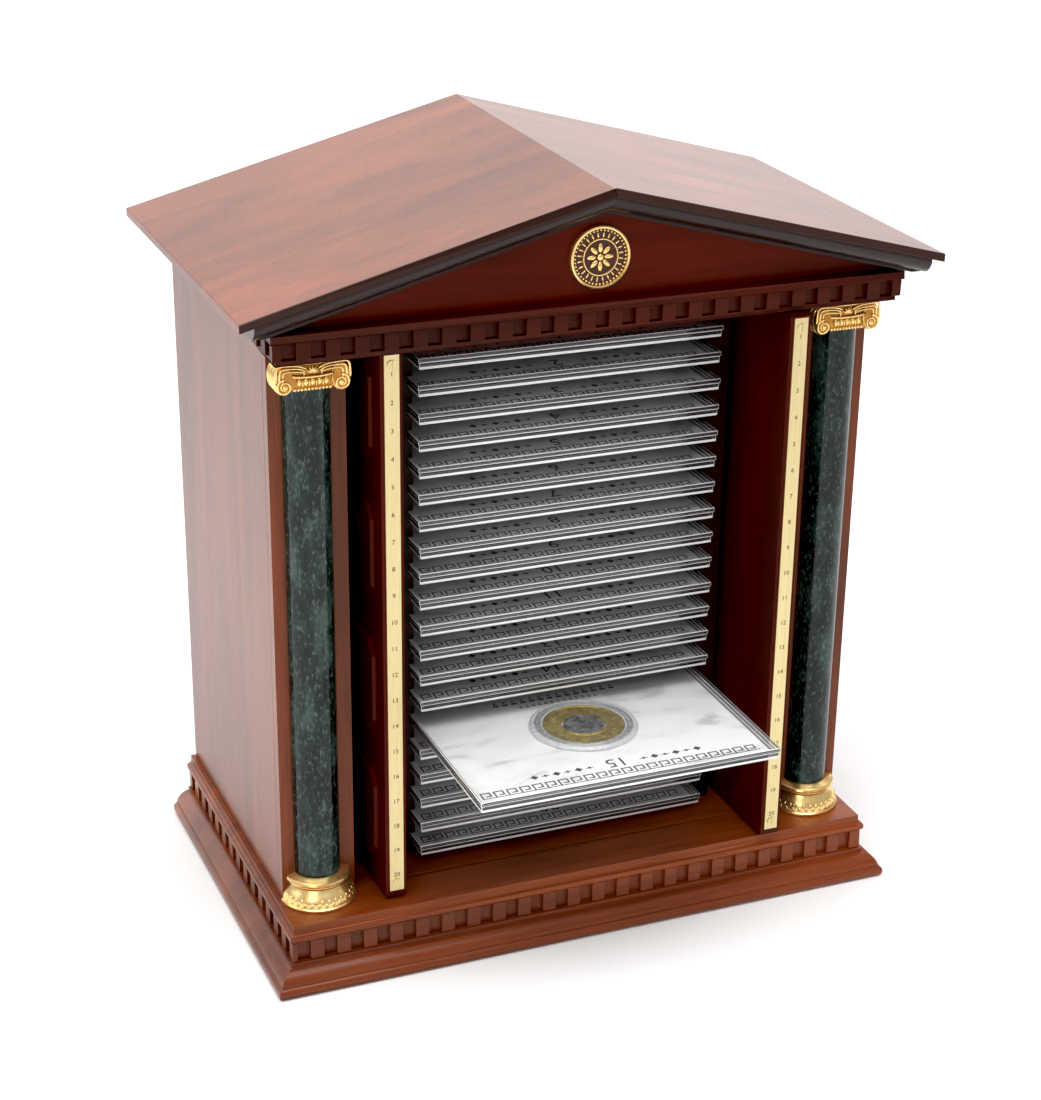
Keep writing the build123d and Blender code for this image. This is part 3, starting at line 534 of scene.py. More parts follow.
# ---- modelling -------------------------------------------------------------------------
class Bench:
    """Modelling operations, each on one piece at a time."""

    @staticmethod
    def clear() -> None:
        """Leave nothing selected."""
        if bpy.context.object and bpy.context.object.mode != "OBJECT":
            bpy.ops.object.mode_set(mode="OBJECT")
        bpy.ops.object.select_all(action="DESELECT")

    @staticmethod
    def take(piece: Piece) -> Piece:
        """Select one piece alone and make it active."""
        Bench.clear()
        piece.select_set(True)
        bpy.context.view_layer.objects.active = piece
        return piece

    @staticmethod
    def settle(piece: Piece) -> Piece:
        """Move the piece's place into its mesh, so that its object sits at the origin."""
        Bench.take(piece)
        bpy.ops.object.transform_apply(location=True, rotation=True, scale=True)
        return piece

    @staticmethod
    def newest(name: str) -> Piece:
        """Name and settle the piece just added."""
        piece = bpy.context.object
        piece.name = name
        return Bench.settle(piece)

    @staticmethod
    def open_mesh(piece: Piece) -> None:
        """Enter edit mode with all of a piece selected."""
        Bench.take(piece)
        bpy.ops.object.mode_set(mode="EDIT")
        bpy.ops.mesh.select_all(action="SELECT")

    @staticmethod
    def close_mesh() -> None:
        """Leave edit mode."""
        bpy.ops.object.mode_set(mode="OBJECT")

    @staticmethod
    def weld(piece: Piece, distance: float) -> None:
        """Merge a piece's doubled points."""
        Bench.open_mesh(piece)
        bpy.ops.mesh.remove_doubles(threshold=distance)
        Bench.close_mesh()

    @staticmethod
    def block(name: str, low: Sequence[float], high: Sequence[float]) -> Piece:
        """Add a box.

        Args:
            name: the piece's name.
            low: its lowest corner, in metres.
            high: its highest corner, in metres.

        Returns:
            The box, settled.
        """
        Bench.clear()
        middle = [(a + b) / 2 for a, b in zip(low, high)]
        bpy.ops.mesh.primitive_cube_add(size=1.0, location=middle,
                                        scale=[b - a for a, b in zip(low, high)])
        return Bench.newest(name)

    @staticmethod
    def drum(name: str, radius: float, depth: float, centre: Sequence[float],
             turn: Point = (0.0, 0.0, 0.0), sides: int = 48) -> Piece:
        """Add a cylinder.

        Args:
            name: the piece's name.
            radius: its radius.
            depth: its length.
            centre: its middle.
            turn: its rotation.
            sides: how many sides it has.

        Returns:
            The cylinder, settled.
        """
        Bench.clear()
        bpy.ops.mesh.primitive_cylinder_add(vertices=sides, radius=radius, depth=depth,
                                            location=centre, rotation=turn)
        return Bench.newest(name)

    @staticmethod
    def pebble(name: str, centre: Sequence[float], size: Sequence[float],
               turn: Point = (0.0, 0.0, 0.0), segments: int = 10, rings: int = 7) -> Piece:
        """Add a small ellipsoid.

        Args:
            name: the piece's name.
            centre: its middle.
            size: its half sizes.
            turn: its rotation.
            segments: segments around.
            rings: rings from pole to pole.

        Returns:
            The ellipsoid, settled and smooth.
        """
        Bench.clear()
        bpy.ops.mesh.primitive_uv_sphere_add(segments=segments, ring_count=rings, radius=1.0,
                                             location=centre, rotation=turn, scale=size)
        piece = Bench.newest(name)
        bpy.ops.object.shade_smooth()
        return piece

    @staticmethod
    def pick_faces(piece: Piece, test: Callable[[Any], bool]) -> None:
        """Enter edit mode with only the faces that pass a test selected."""
        Bench.take(piece)
        mesh = piece.data
        for element in (*mesh.vertices, *mesh.edges):
            element.select = False
        for face in mesh.polygons:
            face.select = test(face)
        bpy.ops.object.mode_set(mode="EDIT")
        bpy.ops.mesh.select_mode(type="FACE")

    @staticmethod
    def lathe(name: str, outline: Sequence[tuple[float, float]], centre: Sequence[float],
              axis: Point, steps: int = 64) -> Piece:
        """Spin an outline into a closed turned piece.

        Args:
            name: the piece's name.
            outline: (radius, distance along the axis) pairs, from the axis back to the axis.
            centre: the point on the axis that the distances count from.
            axis: the unit axis.
            steps: how many facets go around.

        Returns:
            The turned piece, closed and smooth.
        """
        Bench.clear()
        along = Vector(axis)
        out = Vector((1.0, 0.0, 0.0)) if abs(axis[0]) < 0.5 else Vector((0.0, 0.0, 1.0))
        points = [Vector(centre) + out * r + along * h for r, h in outline]
        bpy.ops.mesh.primitive_plane_add(size=MM, location=points[0])
        piece = Bench.newest(name)
        bpy.ops.object.mode_set(mode="EDIT")
        bpy.ops.mesh.select_mode(type="VERT")
        bpy.ops.mesh.select_all(action="SELECT")
        bpy.ops.mesh.merge(type="CENTER")
        for before, after in zip(points, points[1:]):
            bpy.ops.mesh.extrude_region_move(TRANSFORM_OT_translate={"value": after - before})
        bpy.ops.mesh.select_all(action="SELECT")
        bpy.ops.mesh.spin(steps=steps, angle=2 * math.pi, center=Vector(centre), axis=along)
        bpy.ops.mesh.select_all(action="SELECT")
        bpy.ops.mesh.remove_doubles(threshold=SEAM)
        bpy.ops.mesh.normals_make_consistent(inside=False)
        Bench.close_mesh()
        bpy.ops.object.shade_smooth_by_angle(angle=math.radians(35))
        return piece

    @staticmethod
    def halve(piece: Piece, y: float) -> Piece:
        """Cut away all of a piece behind an upright plane across the front, and close the cut."""
        Bench.open_mesh(piece)
        bpy.ops.mesh.bisect(plane_co=(0.0, y, 0.0), plane_no=(0.0, 1.0, 0.0), use_fill=True,
                            clear_outer=True)
        Bench.close_mesh()
        return piece

    @staticmethod
    def soften(piece: Piece, width: float, segments: int = 2) -> Piece:
        """Bevel a piece's sharp edges and apply it."""
        Bench.take(piece)
        bevel = piece.modifiers.new("soft_edges", "BEVEL")
        bevel.width = width
        bevel.segments = segments
        bevel.limit_method = "ANGLE"
        bpy.ops.object.modifier_apply(modifier=bevel.name)
        bpy.ops.object.shade_smooth_by_angle(angle=math.radians(40))
        return piece

    @staticmethod
    def join(name: str, pieces: Sequence[Piece]) -> Piece:
        """Join several pieces into one object."""
        Bench.clear()
        for piece in pieces:
            piece.select_set(True)
        bpy.context.view_layer.objects.active = pieces[0]
        bpy.ops.object.join()
        pieces[0].name = name
        return pieces[0]

    @staticmethod
    def copy(piece: Piece, name: str, move: Matrix) -> Piece:
        """Copy a piece and its mesh, moved; a mirrored copy is turned the right way out."""
        twin = piece.copy()
        twin.data = piece.data.copy()
        twin.name = name
        bpy.context.scene.collection.objects.link(twin)
        twin.data.transform(move)
        if move.determinant() < 0:
            twin.data.flip_normals()
        return twin

    @staticmethod
    def wire(name: str, points: Sequence[Vector], thickness: float, taper: bool = False) -> Piece:
        """Make a round bar along a smooth path, as a closed mesh.

        Args:
            name: the piece's name.
            points: the path.
            thickness: the bar's radius.
            taper: whether the bar thins to half towards its end.

        Returns:
            The bar.
        """
        Bench.clear()
        curve = bpy.data.curves.new(name, "CURVE")
        curve.dimensions = "3D"
        curve.bevel_depth = thickness
        curve.bevel_resolution = 2
        curve.use_fill_caps = True
        spline = curve.splines.new("NURBS")
        spline.points.add(len(points) - 1)
        for index, (spot, at) in enumerate(zip(spline.points, points)):
            spot.co = (*at, 1.0)
            spot.radius = 1.0 - 0.5 * index / len(points) if taper else 1.0
        spline.use_endpoint_u = True
        spline.order_u = 3
        spline.resolution_u = 3
        piece = bpy.data.objects.new(name, curve)
        bpy.context.scene.collection.objects.link(piece)
        Bench.take(piece)
        bpy.ops.object.convert(target="MESH")
        piece = bpy.context.object
        Bench.weld(piece, SEAM)
        bpy.ops.object.shade_smooth()
        return piece

    @staticmethod
    def lettering(name: str, text: str, height: float, place: Matrix, depth: float) -> Piece:
        """Make a numeral as thin solid lettering.

        Args:
            name: the piece's name.
            text: the numeral.
            height: the font size in metres.
            place: where its baseline's middle goes and how it faces.
            depth: its thickness.

        Returns:
            The numeral as a mesh.
        """
        Bench.clear()
        bpy.ops.object.text_add()
        piece = bpy.context.object
        piece.name = name
        piece.data.body = text
        piece.data.size = height
        piece.data.align_x = "CENTER"
        piece.data.extrude = depth
        piece.data.resolution_u = 3
        bpy.ops.object.convert(target="MESH")
        piece = bpy.context.object
        Bench.weld(piece, 0.0005 * MM)
        piece.data.transform(place)
        return piece

    @staticmethod
    def dress(piece: Piece, finish: Material) -> Piece:
        """Give a whole piece one finish."""
        piece.data.materials.clear()
        piece.data.materials.append(finish)
        return piece


def seat(piece: Piece, body: str) -> Piece:
    """Let a piece ride on a body."""
    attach(piece, body)
    LOG.info("%s rides on %s", piece.name, body)
    return piece


# ---- the cabinet's own boards ------------------------------------------------------------
@dataclass
class Carcass:
    """Finishes for the pieces whose modelled shape already shows."""

    finishes: Finishes
    arris: float = 0.35 * MM
    weld: float = 0.002 * MM

    def timber(self) -> list[tuple[Material, tuple[str, ...]]]:
        """Each wood finish with the boards that wear it."""
        kit = self.finishes
        return [
            (kit.wood[Grain.UPRIGHT], ("left_side_panel", "right_side_panel", "pilasters")),
            (kit.wood[Grain.SIDEWAYS], ("plinth_core", "base_mouldings", "base_dentil_bands")),
            (kit.deck_wood, ("deck_mouldings", "deck_board")),
            (kit.red_wood[Grain.UPRIGHT], ("back_panel",)),
            (kit.red_wood[Grain.SIDEWAYS], ("ceiling_board", "pediment_board", "rear_gable")),
            (kit.trim_wood, ("fascia_strips", "entablature_dentils", "crown_mouldings")),
            (kit.cyma_wood, ("raking_cornices",)),
            (kit.roof_wood, ("roof_panels",)),
            (kit.door_wood, ("left_door", "right_door")),
        ]

    def ease(self, node: Piece) -> None:
        """Round a board's arrises slightly."""
        weld = node.modifiers.new("one_skin", "WELD")
        weld.merge_threshold = self.weld
        bevel = node.modifiers.new("eased_arrises", "BEVEL")
        bevel.width = self.arris
        bevel.segments = 2
        bevel.limit_method = "ANGLE"
        bevel.angle_limit = math.radians(40)
        bevel.harden_normals = False

    def coat(self, node: Piece, finish: Material) -> None:
        """Put a finish in every slot of a modelled node."""
        if not node.material_slots:
            node.data.materials.append(finish)
        for slot in node.material_slots:
            slot.material = finish
        LOG.info("%s wears %s", node.name, finish.name)

    def build(self, nodes: dict[str, Any]) -> None:
        """Finish every wooden, marble, brass and steel node."""
        kit = self.finishes
        for finish, names in self.timber():
            for name in names:
                self.coat(nodes[name], finish)
                self.ease(nodes[name])
        plain = {"rack_cheeks": kit.dark_wood, "rack_base": kit.dark_wood,
                 "column_shafts": kit.marble}
        for side in ("left", "right"):
            plain.update({side + "_index_strip": kit.brushed, side + "_strip_screws": kit.brushed,
                          side + "_door_pins": kit.steel, side + "_pull_boss": kit.polished,
                          side + "_pull_ring": kit.polished})
        for name, finish in plain.items():
            self.coat(nodes[name], finish)


# ---- column bases and capitals --------------------------------------------------------------
@dataclass
class ColumnOrder:
    """Gilt bases with a leafy torus and gilt scrolled capitals for both half columns."""

    finishes: Finishes
    leaf_count: int = 15
    egg_count: int = 5
    volute_radius: float = 4.3 * MM
    flutes: int = 4
    scroll_turns: float = 1.9
    scroll_steps: int = 30
    sweep_count: int = 3
    leaf_size: Point = mm(0.90, 0.95, 1.20)
    leaf_rows: tuple[tuple[float, float, float], ...] = ((2.9, 15.75, 0.30), (4.6, 15.25, -0.42))
    base_outline: tuple[tuple[float, float], ...] = (
        (0.0, 0.0), (16.7, 0.0), (17.0, 0.4), (17.0, 1.2), (16.5, 1.7), (16.35, 2.6), (16.1, 3.8),
        (15.6, 5.2), (14.9, 6.4), (14.1, 7.5), (13.4, 8.5), (13.05, 9.3), (13.2, 10.0),
        (14.0, 10.5), (14.5, 11.2), (14.7, 12.1), (14.3, 13.0), (13.3, 13.5), (12.0, 13.7))

    def base(self, centre_x: float, wall_y: float, low: float, high: float) -> Piece:
        """Turn one base and set leaves around its torus.

        Args:
            centre_x: the column's axis.
            wall_y: the pilaster's face.
            low: the underside.
            high: the top.

        Returns:
            The base.
        """
        tall = high - low
        outline = [mm(*corner) for corner in self.base_outline] + [(11.2 * MM, tall), (0.0, tall)]
        turned = Bench.lathe("base_turning", outline, (centre_x, wall_y, low), (0.0, 0.0, 1.0), 72)
        Bench.dress(turned, self.finishes.gilt)
        turned.data.materials.append(self.finishes.deep_gilt)
        # Two narrow bands in the turning's grooves get the darker gilt as painted shade.
        for polygon in turned.data.polygons:
            rise = (polygon.center.z - low) / MM
            if 1.5 < rise < 1.9 or 9.0 < rise < 9.9:
                polygon.material_index = 1
        leaves = [turned]
        for row, (height, radius, lean) in enumerate(self.leaf_rows):
            for step in range(self.leaf_count):
                angle = math.pi * (step + 0.5 + 0.5 * row) / (self.leaf_count + 0.5)
                place = (centre_x + radius * MM * math.cos(angle),
                         wall_y - radius * MM * math.sin(angle), low + height * MM)
                leaf = Bench.pebble("leaf", place, self.leaf_size, (lean, 0.0, -angle), 8, 6)
                leaves.append(Bench.dress(leaf, self.finishes.gilt))
        whole = Bench.join("base", leaves)
        return Bench.halve(whole, wall_y)

    def spiral(self, centre: Vector, hand: float) -> Piece:
        """Make the scroll's raised fillet on the front of a volute.

        Args:
            centre: the eye of the scroll.
            hand: 1 or -1, the way it winds.

        Returns:
            The fillet.
        """
        points = []
        for step in range(self.scroll_steps + 1):
            share = step / self.scroll_steps
            angle = math.pi / 2 - hand * share * self.scroll_turns * 2 * math.pi
            radius = (3.65 - 2.9 * share ** 0.85) * MM
            outward = Vector((math.cos(angle), 0.0, math.sin(angle)))
            points.append(centre + outward * radius)
        return Bench.wire("scroll", points, 0.6 * MM, True)

    def volute(self, centre_x: float, front: float, back: float, low: float, top: float,
               hand: float) -> list[Piece]:
        """Make one volute: a tall fluted bolster, its scroll and its eye.

        Args:
            centre_x: the volute's middle.
            front: the capital's front face.
            back: the wall behind it.
            low: the capital's underside.
            top: the capital's top.
            hand: 1 or -1, the way its scroll winds.

        Returns:
            Its pieces.
        """
        face = front + 0.55 * MM
        length = back - face
        outline = [(0.0, 0.0), (self.volute_radius * 0.80, 0.0)]
        count = 8 * self.flutes
        for step in range(1, count):
            wave = abs(math.sin(math.pi * self.flutes * step / count))
            corner = min(1.0, 0.84 + 0.9 * step / count)
            outline.append((self.volute_radius * corner * (0.64 + 0.36 * wave ** 0.7),
                            length * step / count))
        outline += [(self.volute_radius * 0.9, length), (0.0, length)]
        middle = (low + top - 2.6 * MM) / 2
        bolster = Bench.lathe("bolster", outline, (centre_x, face, middle), (0.0, 1.0, 0.0), 44)
        tall = (middle - low) / self.volute_radius
        Bench.open_mesh(bolster)
        bpy.ops.transform.resize(value=(1.0, 1.0, tall), center_override=(centre_x, face, middle))
        Bench.close_mesh()
        Bench.dress(bolster, self.finishes.gilt)
        bolster.data.materials.append(self.finishes.deep_gilt)
        # The volute's front face and the hollow inside its fluted rim get the darker gilt as
        # painted shade, so the raised scroll shows against it.
        for polygon in bolster.data.polygons:
            reach = math.hypot(polygon.center.x - centre_x, (polygon.center.z - middle) / tall)
            front_end = polygon.center.y < face + 0.05 * MM
            if front_end or reach < self.volute_radius * 0.78:
                polygon.material_index = 1
        eye_z = low + self.volute_radius
        eye = Bench.pebble("eye", (centre_x, face, eye_z), mm(1.05, 0.6, 1.05))
        return [bolster, eye, self.spiral(Vector((centre_x, face, eye_z)), hand)]

    def sweeps(self, centre_x: float, front: float, low: float, top: float, hand: float,
               middle: float) -> list[Piece]:
        """Sweep raised fillets from a volute up under the abacus to the capital's middle.

        Args:
            centre_x: the volute's middle.
            front: the capital's front face.
            low: the capital's underside.
            top: the capital's top.
            hand: 1 for the right volute, -1 for the left.
            middle: the capital's middle.

        Returns:
            The fillets.
        """
        def at(x: float, forward: float, z: float) -> Vector:
            """A point a few tenths of a millimetre behind the front face."""
            return Vector((x, front + forward * MM, z))

        pieces = []
        for rank in range(self.sweep_count):
            outer = centre_x + hand * (self.volute_radius * 0.86 - 1.5 * rank * MM)
            crown = top - (2.9 + 1.35 * rank) * MM
            points = [at(outer, 0.8, low + 6.2 * MM), at(outer, 0.75, low + 9.0 * MM),
                      at(outer - hand * 0.4 * MM, 0.7, crown),
                      at(outer - hand * 4.0 * MM, 0.7, crown),
                      at(middle + hand * (4.6 - rank) * MM, 0.9, crown - 0.7 * MM),
                      at(middle + hand * (2.4 + 0.8 * rank) * MM, 1.2, crown - 2.4 * MM)]
            pieces.append(Bench.wire("sweep", points, (0.68 - 0.08 * rank) * MM, True))
        return pieces

    def mouldings(self, middle: float, front: float, low: float, radius: float,
                  width: float) -> list[Piece]:
        """Model the eggs, beads, fillet and palmette between the volutes.

        Args:
            middle: the capital's middle.
            front: its front face.
            low: its underside.
            radius: the volutes' radius.
            width: the capital's width.

        Returns:
            The ornaments.
        """
        span = width - 4.9 * radius
        level = (0.0, 0.0, 0.0)
        pieces = []

        def stud(name: str, x: float, forward: float, up: float, size: Point, turn: Point = level,
                 mesh: tuple[int, int] = (10, 7)) -> None:
            """Set one ornament behind the front face and above the underside."""
            spot = (x, front + forward * MM, low + up * MM)
            pieces.append(Bench.pebble(name, spot, size, turn, *mesh))

        for step in range(self.egg_count):
            x = middle + span * (step / (self.egg_count - 1) - 0.5)
            stud("egg", x, 1.7, 5.6, mm(1.15, 1.4, 1.9))
            if step:
                stud("dart", x - span / (self.egg_count - 1) / 2, 1.6, 5.0, mm(0.42, 0.9, 1.7),
                     mesh=(6, 5))
        beads = 2 * self.egg_count + 1
        for step in range(beads):
            x = middle + (width - 4.1 * radius) * (step / (beads - 1) - 0.5)
            stud("bead", x, 1.9, 2.4, mm(0.82, 0.9, 0.85), mesh=(8, 6))
        half = width / 2 - 1.7 * radius
        points = [Vector((middle + share * half, front + 1.2 * MM,
                          low + (8.3 - 0.7 * (1 - share * share)) * MM))
                  for share in (-1.0, -0.6, -0.2, 0.2, 0.6, 1.0)]
        pieces.append(Bench.wire("fillet", points, 0.6 * MM))
        for tip in range(-2, 3):
            angle = 0.5 * tip
            stud("leaflet", middle + 1.7 * math.sin(angle) * MM, 1.1, 9.0 + 1.9 * math.cos(angle),
                 mm(0.52, 0.8, 1.5), (0.0, angle, 0.0), (8, 6))
        return pieces

    def capital(self, low: Point, high: Point, shaft_top: float) -> Piece:
        """Build one capital inside the modelled one's box.

        Args:
            low: the box's lowest corner.
            high: its highest corner.
            shaft_top: the top of the marble shaft; not used.

        Returns:
            The capital.
        """
        middle = (low[0] + high[0]) / 2
        front, wall, top = low[1], high[1], high[2]
        radius = self.volute_radius
        slab = Bench.block("abacus", (low[0] + 0.5 * MM, front + 0.3 * MM, top - 1.9 * MM),
                           (high[0] - 0.5 * MM, wall, top))
        Bench.pick_faces(slab, lambda face: face.normal.z < -0.9)
        bpy.ops.mesh.inset(thickness=0.7 * MM)
        bpy.ops.mesh.extrude_region_move(TRANSFORM_OT_translate={"value": mm(0.0, 0.0, -1.5)})
        Bench.close_mesh()
        Bench.soften(slab, 0.35 * MM)
        bell = Bench.block("bell", (low[0] + radius, front + 1.9 * MM, low[2] + 1.6 * MM),
                           (high[0] - radius, wall, top - 3.0 * MM))
        Bench.soften(bell, 1.1 * MM, 3)
        pieces = [slab, bell]
        for hand, edge in ((-1.0, low[0] + radius), (1.0, high[0] - radius)):
            pieces += self.volute(edge, front, wall, low[2], top, hand)
            pieces += self.sweeps(edge, front, low[2], top, hand, middle)
        pieces += self.mouldings(middle, front, low[2], radius, high[0] - low[0])
        for piece in pieces:
            if not piece.data.materials:
                Bench.dress(piece, self.finishes.gilt)
        # The recessed bell behind the eggs and scrolls wears the darker gilt as painted shade.
        Bench.dress(bell, self.finishes.deep_gilt)
        return Bench.join("capital", pieces)

    def build(self) -> None:
        """Make the left and right bases and capitals."""
        base_low, base_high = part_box("column_bases")
        cap_low, cap_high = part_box("column_capitals")
        shaft_low, shaft_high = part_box("column_shafts")
        shaft_x = shaft_high[0] - (shaft_high[1] - shaft_low[1])
        half = cap_high[0] - shaft_x
        base = self.base(shaft_x, base_high[1], base_low[2], base_high[2])
        capital = self.capital((shaft_x - half, cap_low[1], cap_low[2]),
                               (cap_high[0], cap_high[1], cap_high[2]), shaft_high[2])
        mirror = Matrix.Scale(-1.0, 4, Vector((1.0, 0.0, 0.0)))
        for kind, right, node in (("base", base, "column_bases"),
                                  ("capital", capital, "column_capitals")):
            left = Bench.copy(right, "left_column_" + kind, mirror)
            right.name = "right_column_" + kind
            for piece in (left, right):
                seat(piece, "cabinet")
                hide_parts(node)


# ---- medallion ---------------------------------------------------------------------------
@dataclass(frozen=True)
class Ring:
    """One ring of raised ornaments; reach and rise are shares of the disc's radius and depth."""

    name: str
    count: int
    reach: float
    rise: float
    size: Point
    start: float = 0.0
    turned: bool = True
    mesh: tuple[int, int] = (8, 5)


@dataclass
class Medallion:
    """A gilt disc with a beaded rim, dark ground, rays and a rosette."""

    finishes: Finishes
    rings: tuple[Ring, ...] = (Ring("bead", 44, 0.845, 0.62, mm(0.5, 0.5, 0.5), turned=False),
                               Ring("ray", 24, 0.70, 0.6, mm(1.35, 0.42, 0.42), start=0.5),
                               Ring("petal", 8, 0.29, 0.55, mm(2.2, 0.75, 1.05), mesh=(12, 7)))
    outline: tuple[tuple[float, float], ...] = (
        (0.0, 0.0), (1.0, 0.0), (1.0, 0.55), (0.985, 0.9), (0.95, 1.0), (0.91, 0.95), (0.89, 0.6),
        (0.60, 0.6), (0.585, 0.85), (0.555, 0.85), (0.54, 0.5), (0.0, 0.5))

    def build(self) -> None:
        """Make the disc in place of the plain one, and its relief."""
        low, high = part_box("medallion")
        centre = Vector(((low[0] + high[0]) / 2, high[1], (low[2] + high[2]) / 2))
        radius = (high[0] - low[0]) / 2
        face = low[1] - high[1]
        disc = Bench.lathe("medallion_disc", [(radius * r, face * h) for r, h in self.outline],
                           centre, (0.0, 1.0, 0.0), 72)
        disc.data.materials.append(self.finishes.gilt)
        disc.data.materials.append(self.finishes.enamel)
        for polygon in disc.data.polygons:
            reach = (Vector(polygon.center) - centre)
            sunk = polygon.normal.y < -0.9 and reach.y > face * 0.62
            if sunk and math.hypot(reach.x, reach.z) < radius * 0.89:
                polygon.material_index = 1
        seat(disc, "cabinet")
        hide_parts("medallion")
        parts = []
        for ring in self.rings:
            for step in range(ring.count):
                angle = 2 * math.pi * (step + ring.start) / ring.count
                outward = Vector((math.cos(angle), 0.0, math.sin(angle)))
                spot = centre + outward * radius * ring.reach
                spot.y = centre.y + face * ring.rise
                parts.append(Bench.pebble(ring.name, spot, ring.size,
                                          (0.0, -angle * ring.turned, 0.0), *ring.mesh))
        spot = Vector((centre.x, centre.y + face * 0.68, centre.z))
        parts.append(Bench.pebble("button", spot, mm(1.5, 0.7, 1.5), segments=16))
        relief = Bench.dress(Bench.join("medallion_relief", parts), self.finishes.gilt)
        seat(relief, "cabinet")


# ---- number strips -------------------------------------------------------------------------
@dataclass
class NumberStrips:
    """The engraved numbers down the brass strip on each door's edge."""

    finishes: Finishes
    size: float = 3.0 * MM
    depth: float = 0.02 * MM

    def build(self) -> None:
        """Set a number level with each case on both strips."""
        for side in ("left", "right"):
            low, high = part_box(side + "_index_strip")
            middle = (low[0] + high[0]) / 2
            digits = []
            for number in range(1, TRAY_COUNT + 1):
                case_low, case_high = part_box(tray_node(number))
                place = (Matrix.Translation((middle, low[1] - self.depth, case_high[2] + 2.2 * MM))
                         @ Matrix.Rotation(math.pi / 2, 4, "X"))
                digits.append(Bench.lettering("digit", str(number), self.size, place, self.depth))
            piece = Bench.join(side + "_strip_numbers", digits)
            Bench.dress(piece, self.finishes.brown_ink)
            seat(piece, side + "_door")


# ---- coin cases ----------------------------------------------------------------------------
def tray_node(number: int) -> str:
    """The node that shows a case's outer size."""
    name = "tray_{:02d}".format(number)
    return name + "_lid" if number == OPEN_TRAY else name


@dataclass
class CoinCases:
    """Clear cases, each with a printed card, a capsule, an insert and a coin."""

    finishes: Finishes
    wall: float = 1.5 * MM
    floor: float = 1.2 * MM
    lid_plate: float = 1.0 * MM
    film: float = 0.03 * MM
    key_pitch: float = 6.0 * MM
    key_height: float = 5.4 * MM
    stroke: float = 0.72 * MM
    margin: float = 8.2 * MM
    lozenges: int = 6
    numeral_size: float = 10.5 * MM
    numeral_setback: float = 22.8 * MM
    marks: int = 28
    mark_radius: float = 14.3 * MM
    parts: dict[str, Piece] = field(default_factory=dict)

    def shell(self, name: str, low: Point, high: Point, open_up: bool, plate: float) -> Piece:
        """Make a hollow half of the case.

        Args:
            name: the piece's name.
            low: its lowest corner.
            high: its highest corner.
            open_up: whether its open side faces up.
            plate: the thickness of its flat plate.

        Returns:
            The shell: clear faces, walls painted dark grey as the shade seen through them, and
                rounded edges and foot painted pale as highlights.
        """
        piece = Bench.block(name, low, high)
        side = 1.0 if open_up else -1.0
        sink = (high[2] - low[2] - plate) * side
        Bench.pick_faces(piece, lambda face: face.normal.z * side > 0.9)
        bpy.ops.mesh.inset(thickness=self.wall)
        bpy.ops.mesh.extrude_region_move(TRANSFORM_OT_translate={"value": (0.0, 0.0, -sink)})
        Bench.close_mesh()
        Bench.soften(piece, 0.3 * MM)
        foot = low[2] + plate * 1.06
        Bench.open_mesh(piece)
        bpy.ops.mesh.bisect(plane_co=(0.0, 0.0, foot), plane_no=(0.0, 0.0, 1.0))
        Bench.close_mesh()
        for finish in (self.finishes.clear, self.finishes.clear_edge, self.finishes.clear_rim):
            piece.data.materials.append(finish)
        # Rounded faces and the base's foot get the painted highlight; the other upright walls get
        # the painted shade.
        for polygon in piece.data.polygons:
            upright = abs(polygon.normal.z) < 0.5
            rounded = max(abs(value) for value in polygon.normal) < 0.98
            if rounded or (open_up and upright and polygon.center.z < foot):
                polygon.material_index = 2
            elif upright:
                polygon.material_index = 1
        return piece

    def bar(self, low: tuple[float, float], high: tuple[float, float], z: float) -> Piece:
        """Print one bar of ink on the card, between two corners."""
        return Bench.block("bar", (*low, z), (*high, z + self.film))

    def meander(self, low_x: float, high_x: float, y: float, z: float) -> Piece:
        """Print a key-pattern border along the front of the card.

        Args:
            low_x: its left end.
            high_x: its right end.
            y: its front edge.
            z: the card's top.

        Returns:
            The border as a thin inked piece.
        """
        width, height, pitch = self.stroke, self.key_height, self.key_pitch
        hook, turn = height * 0.30, pitch * 0.78
        bars = [((0.0, 0.0), (width, height)), ((0.0, height - width), (turn, height)),
                ((turn - width, hook), (turn, height)),
                ((pitch * 0.32, hook), (turn, hook + width)), ((0.0, 0.0), (pitch, width * 0.7))]
        strokes = [self.bar((low_x + a[0], y + a[1]), (low_x + b[0], y + b[1]), z)
                   for a, b in bars]
        unit = Bench.join("meander", strokes)
        array = unit.modifiers.new("repeat", "ARRAY")
        array.use_relative_offset = False
        array.use_constant_offset = True
        array.constant_offset_displace = (pitch, 0.0, 0.0)
        array.count = int((high_x - low_x) / pitch)
        Bench.take(unit)
        bpy.ops.object.modifier_apply(modifier=array.name)
        return unit

    def captions(self, front: float, z: float) -> Piece:
        """Print a row of lozenges and two rows of dashes where the card has its captions.

        Args:
            front: the case's front edge.
            z: the card's top.

        Returns:
            The rows as one inked piece.
        """
        inked = []
        for hand in (-1.0, 1.0):
            for step in range(self.lozenges):
                reach = (13.0 + 5.2 * step) * hand * MM
                wide = 2.9 * MM if step % 2 else 1.7 * MM
                inked.append(Bench.drum("lozenge", wide / 1.6, self.film,
                                        (reach, front + 19.0 * MM, z + self.film / 2), sides=4))
                inked.append(self.bar((reach - 2.0 * MM, front + 18.8 * MM),
                                      (reach + 2.0 * MM, front + 19.2 * MM), z))
        for back, span, tall, count in ((88.0, 62.0, 4.0, 14), (83.4, 40.0, 2.2, 13)):
            pitch = span / count
            for step in range(count):
                left = -span / 2 + step * pitch
                for (x_low, y_low), (x_high, y_high) in (((0.0, 0.0), (0.62, 0.36)),
                                                         ((0.2, 0.6), (0.42, 1.0))):
                    inked.append(self.bar(
                        ((left + pitch * x_low) * MM, front + (back + tall * y_low) * MM),
                        ((left + pitch * x_high) * MM, front + (back + tall * y_high) * MM), z))
        return Bench.join("caption_rows", inked)

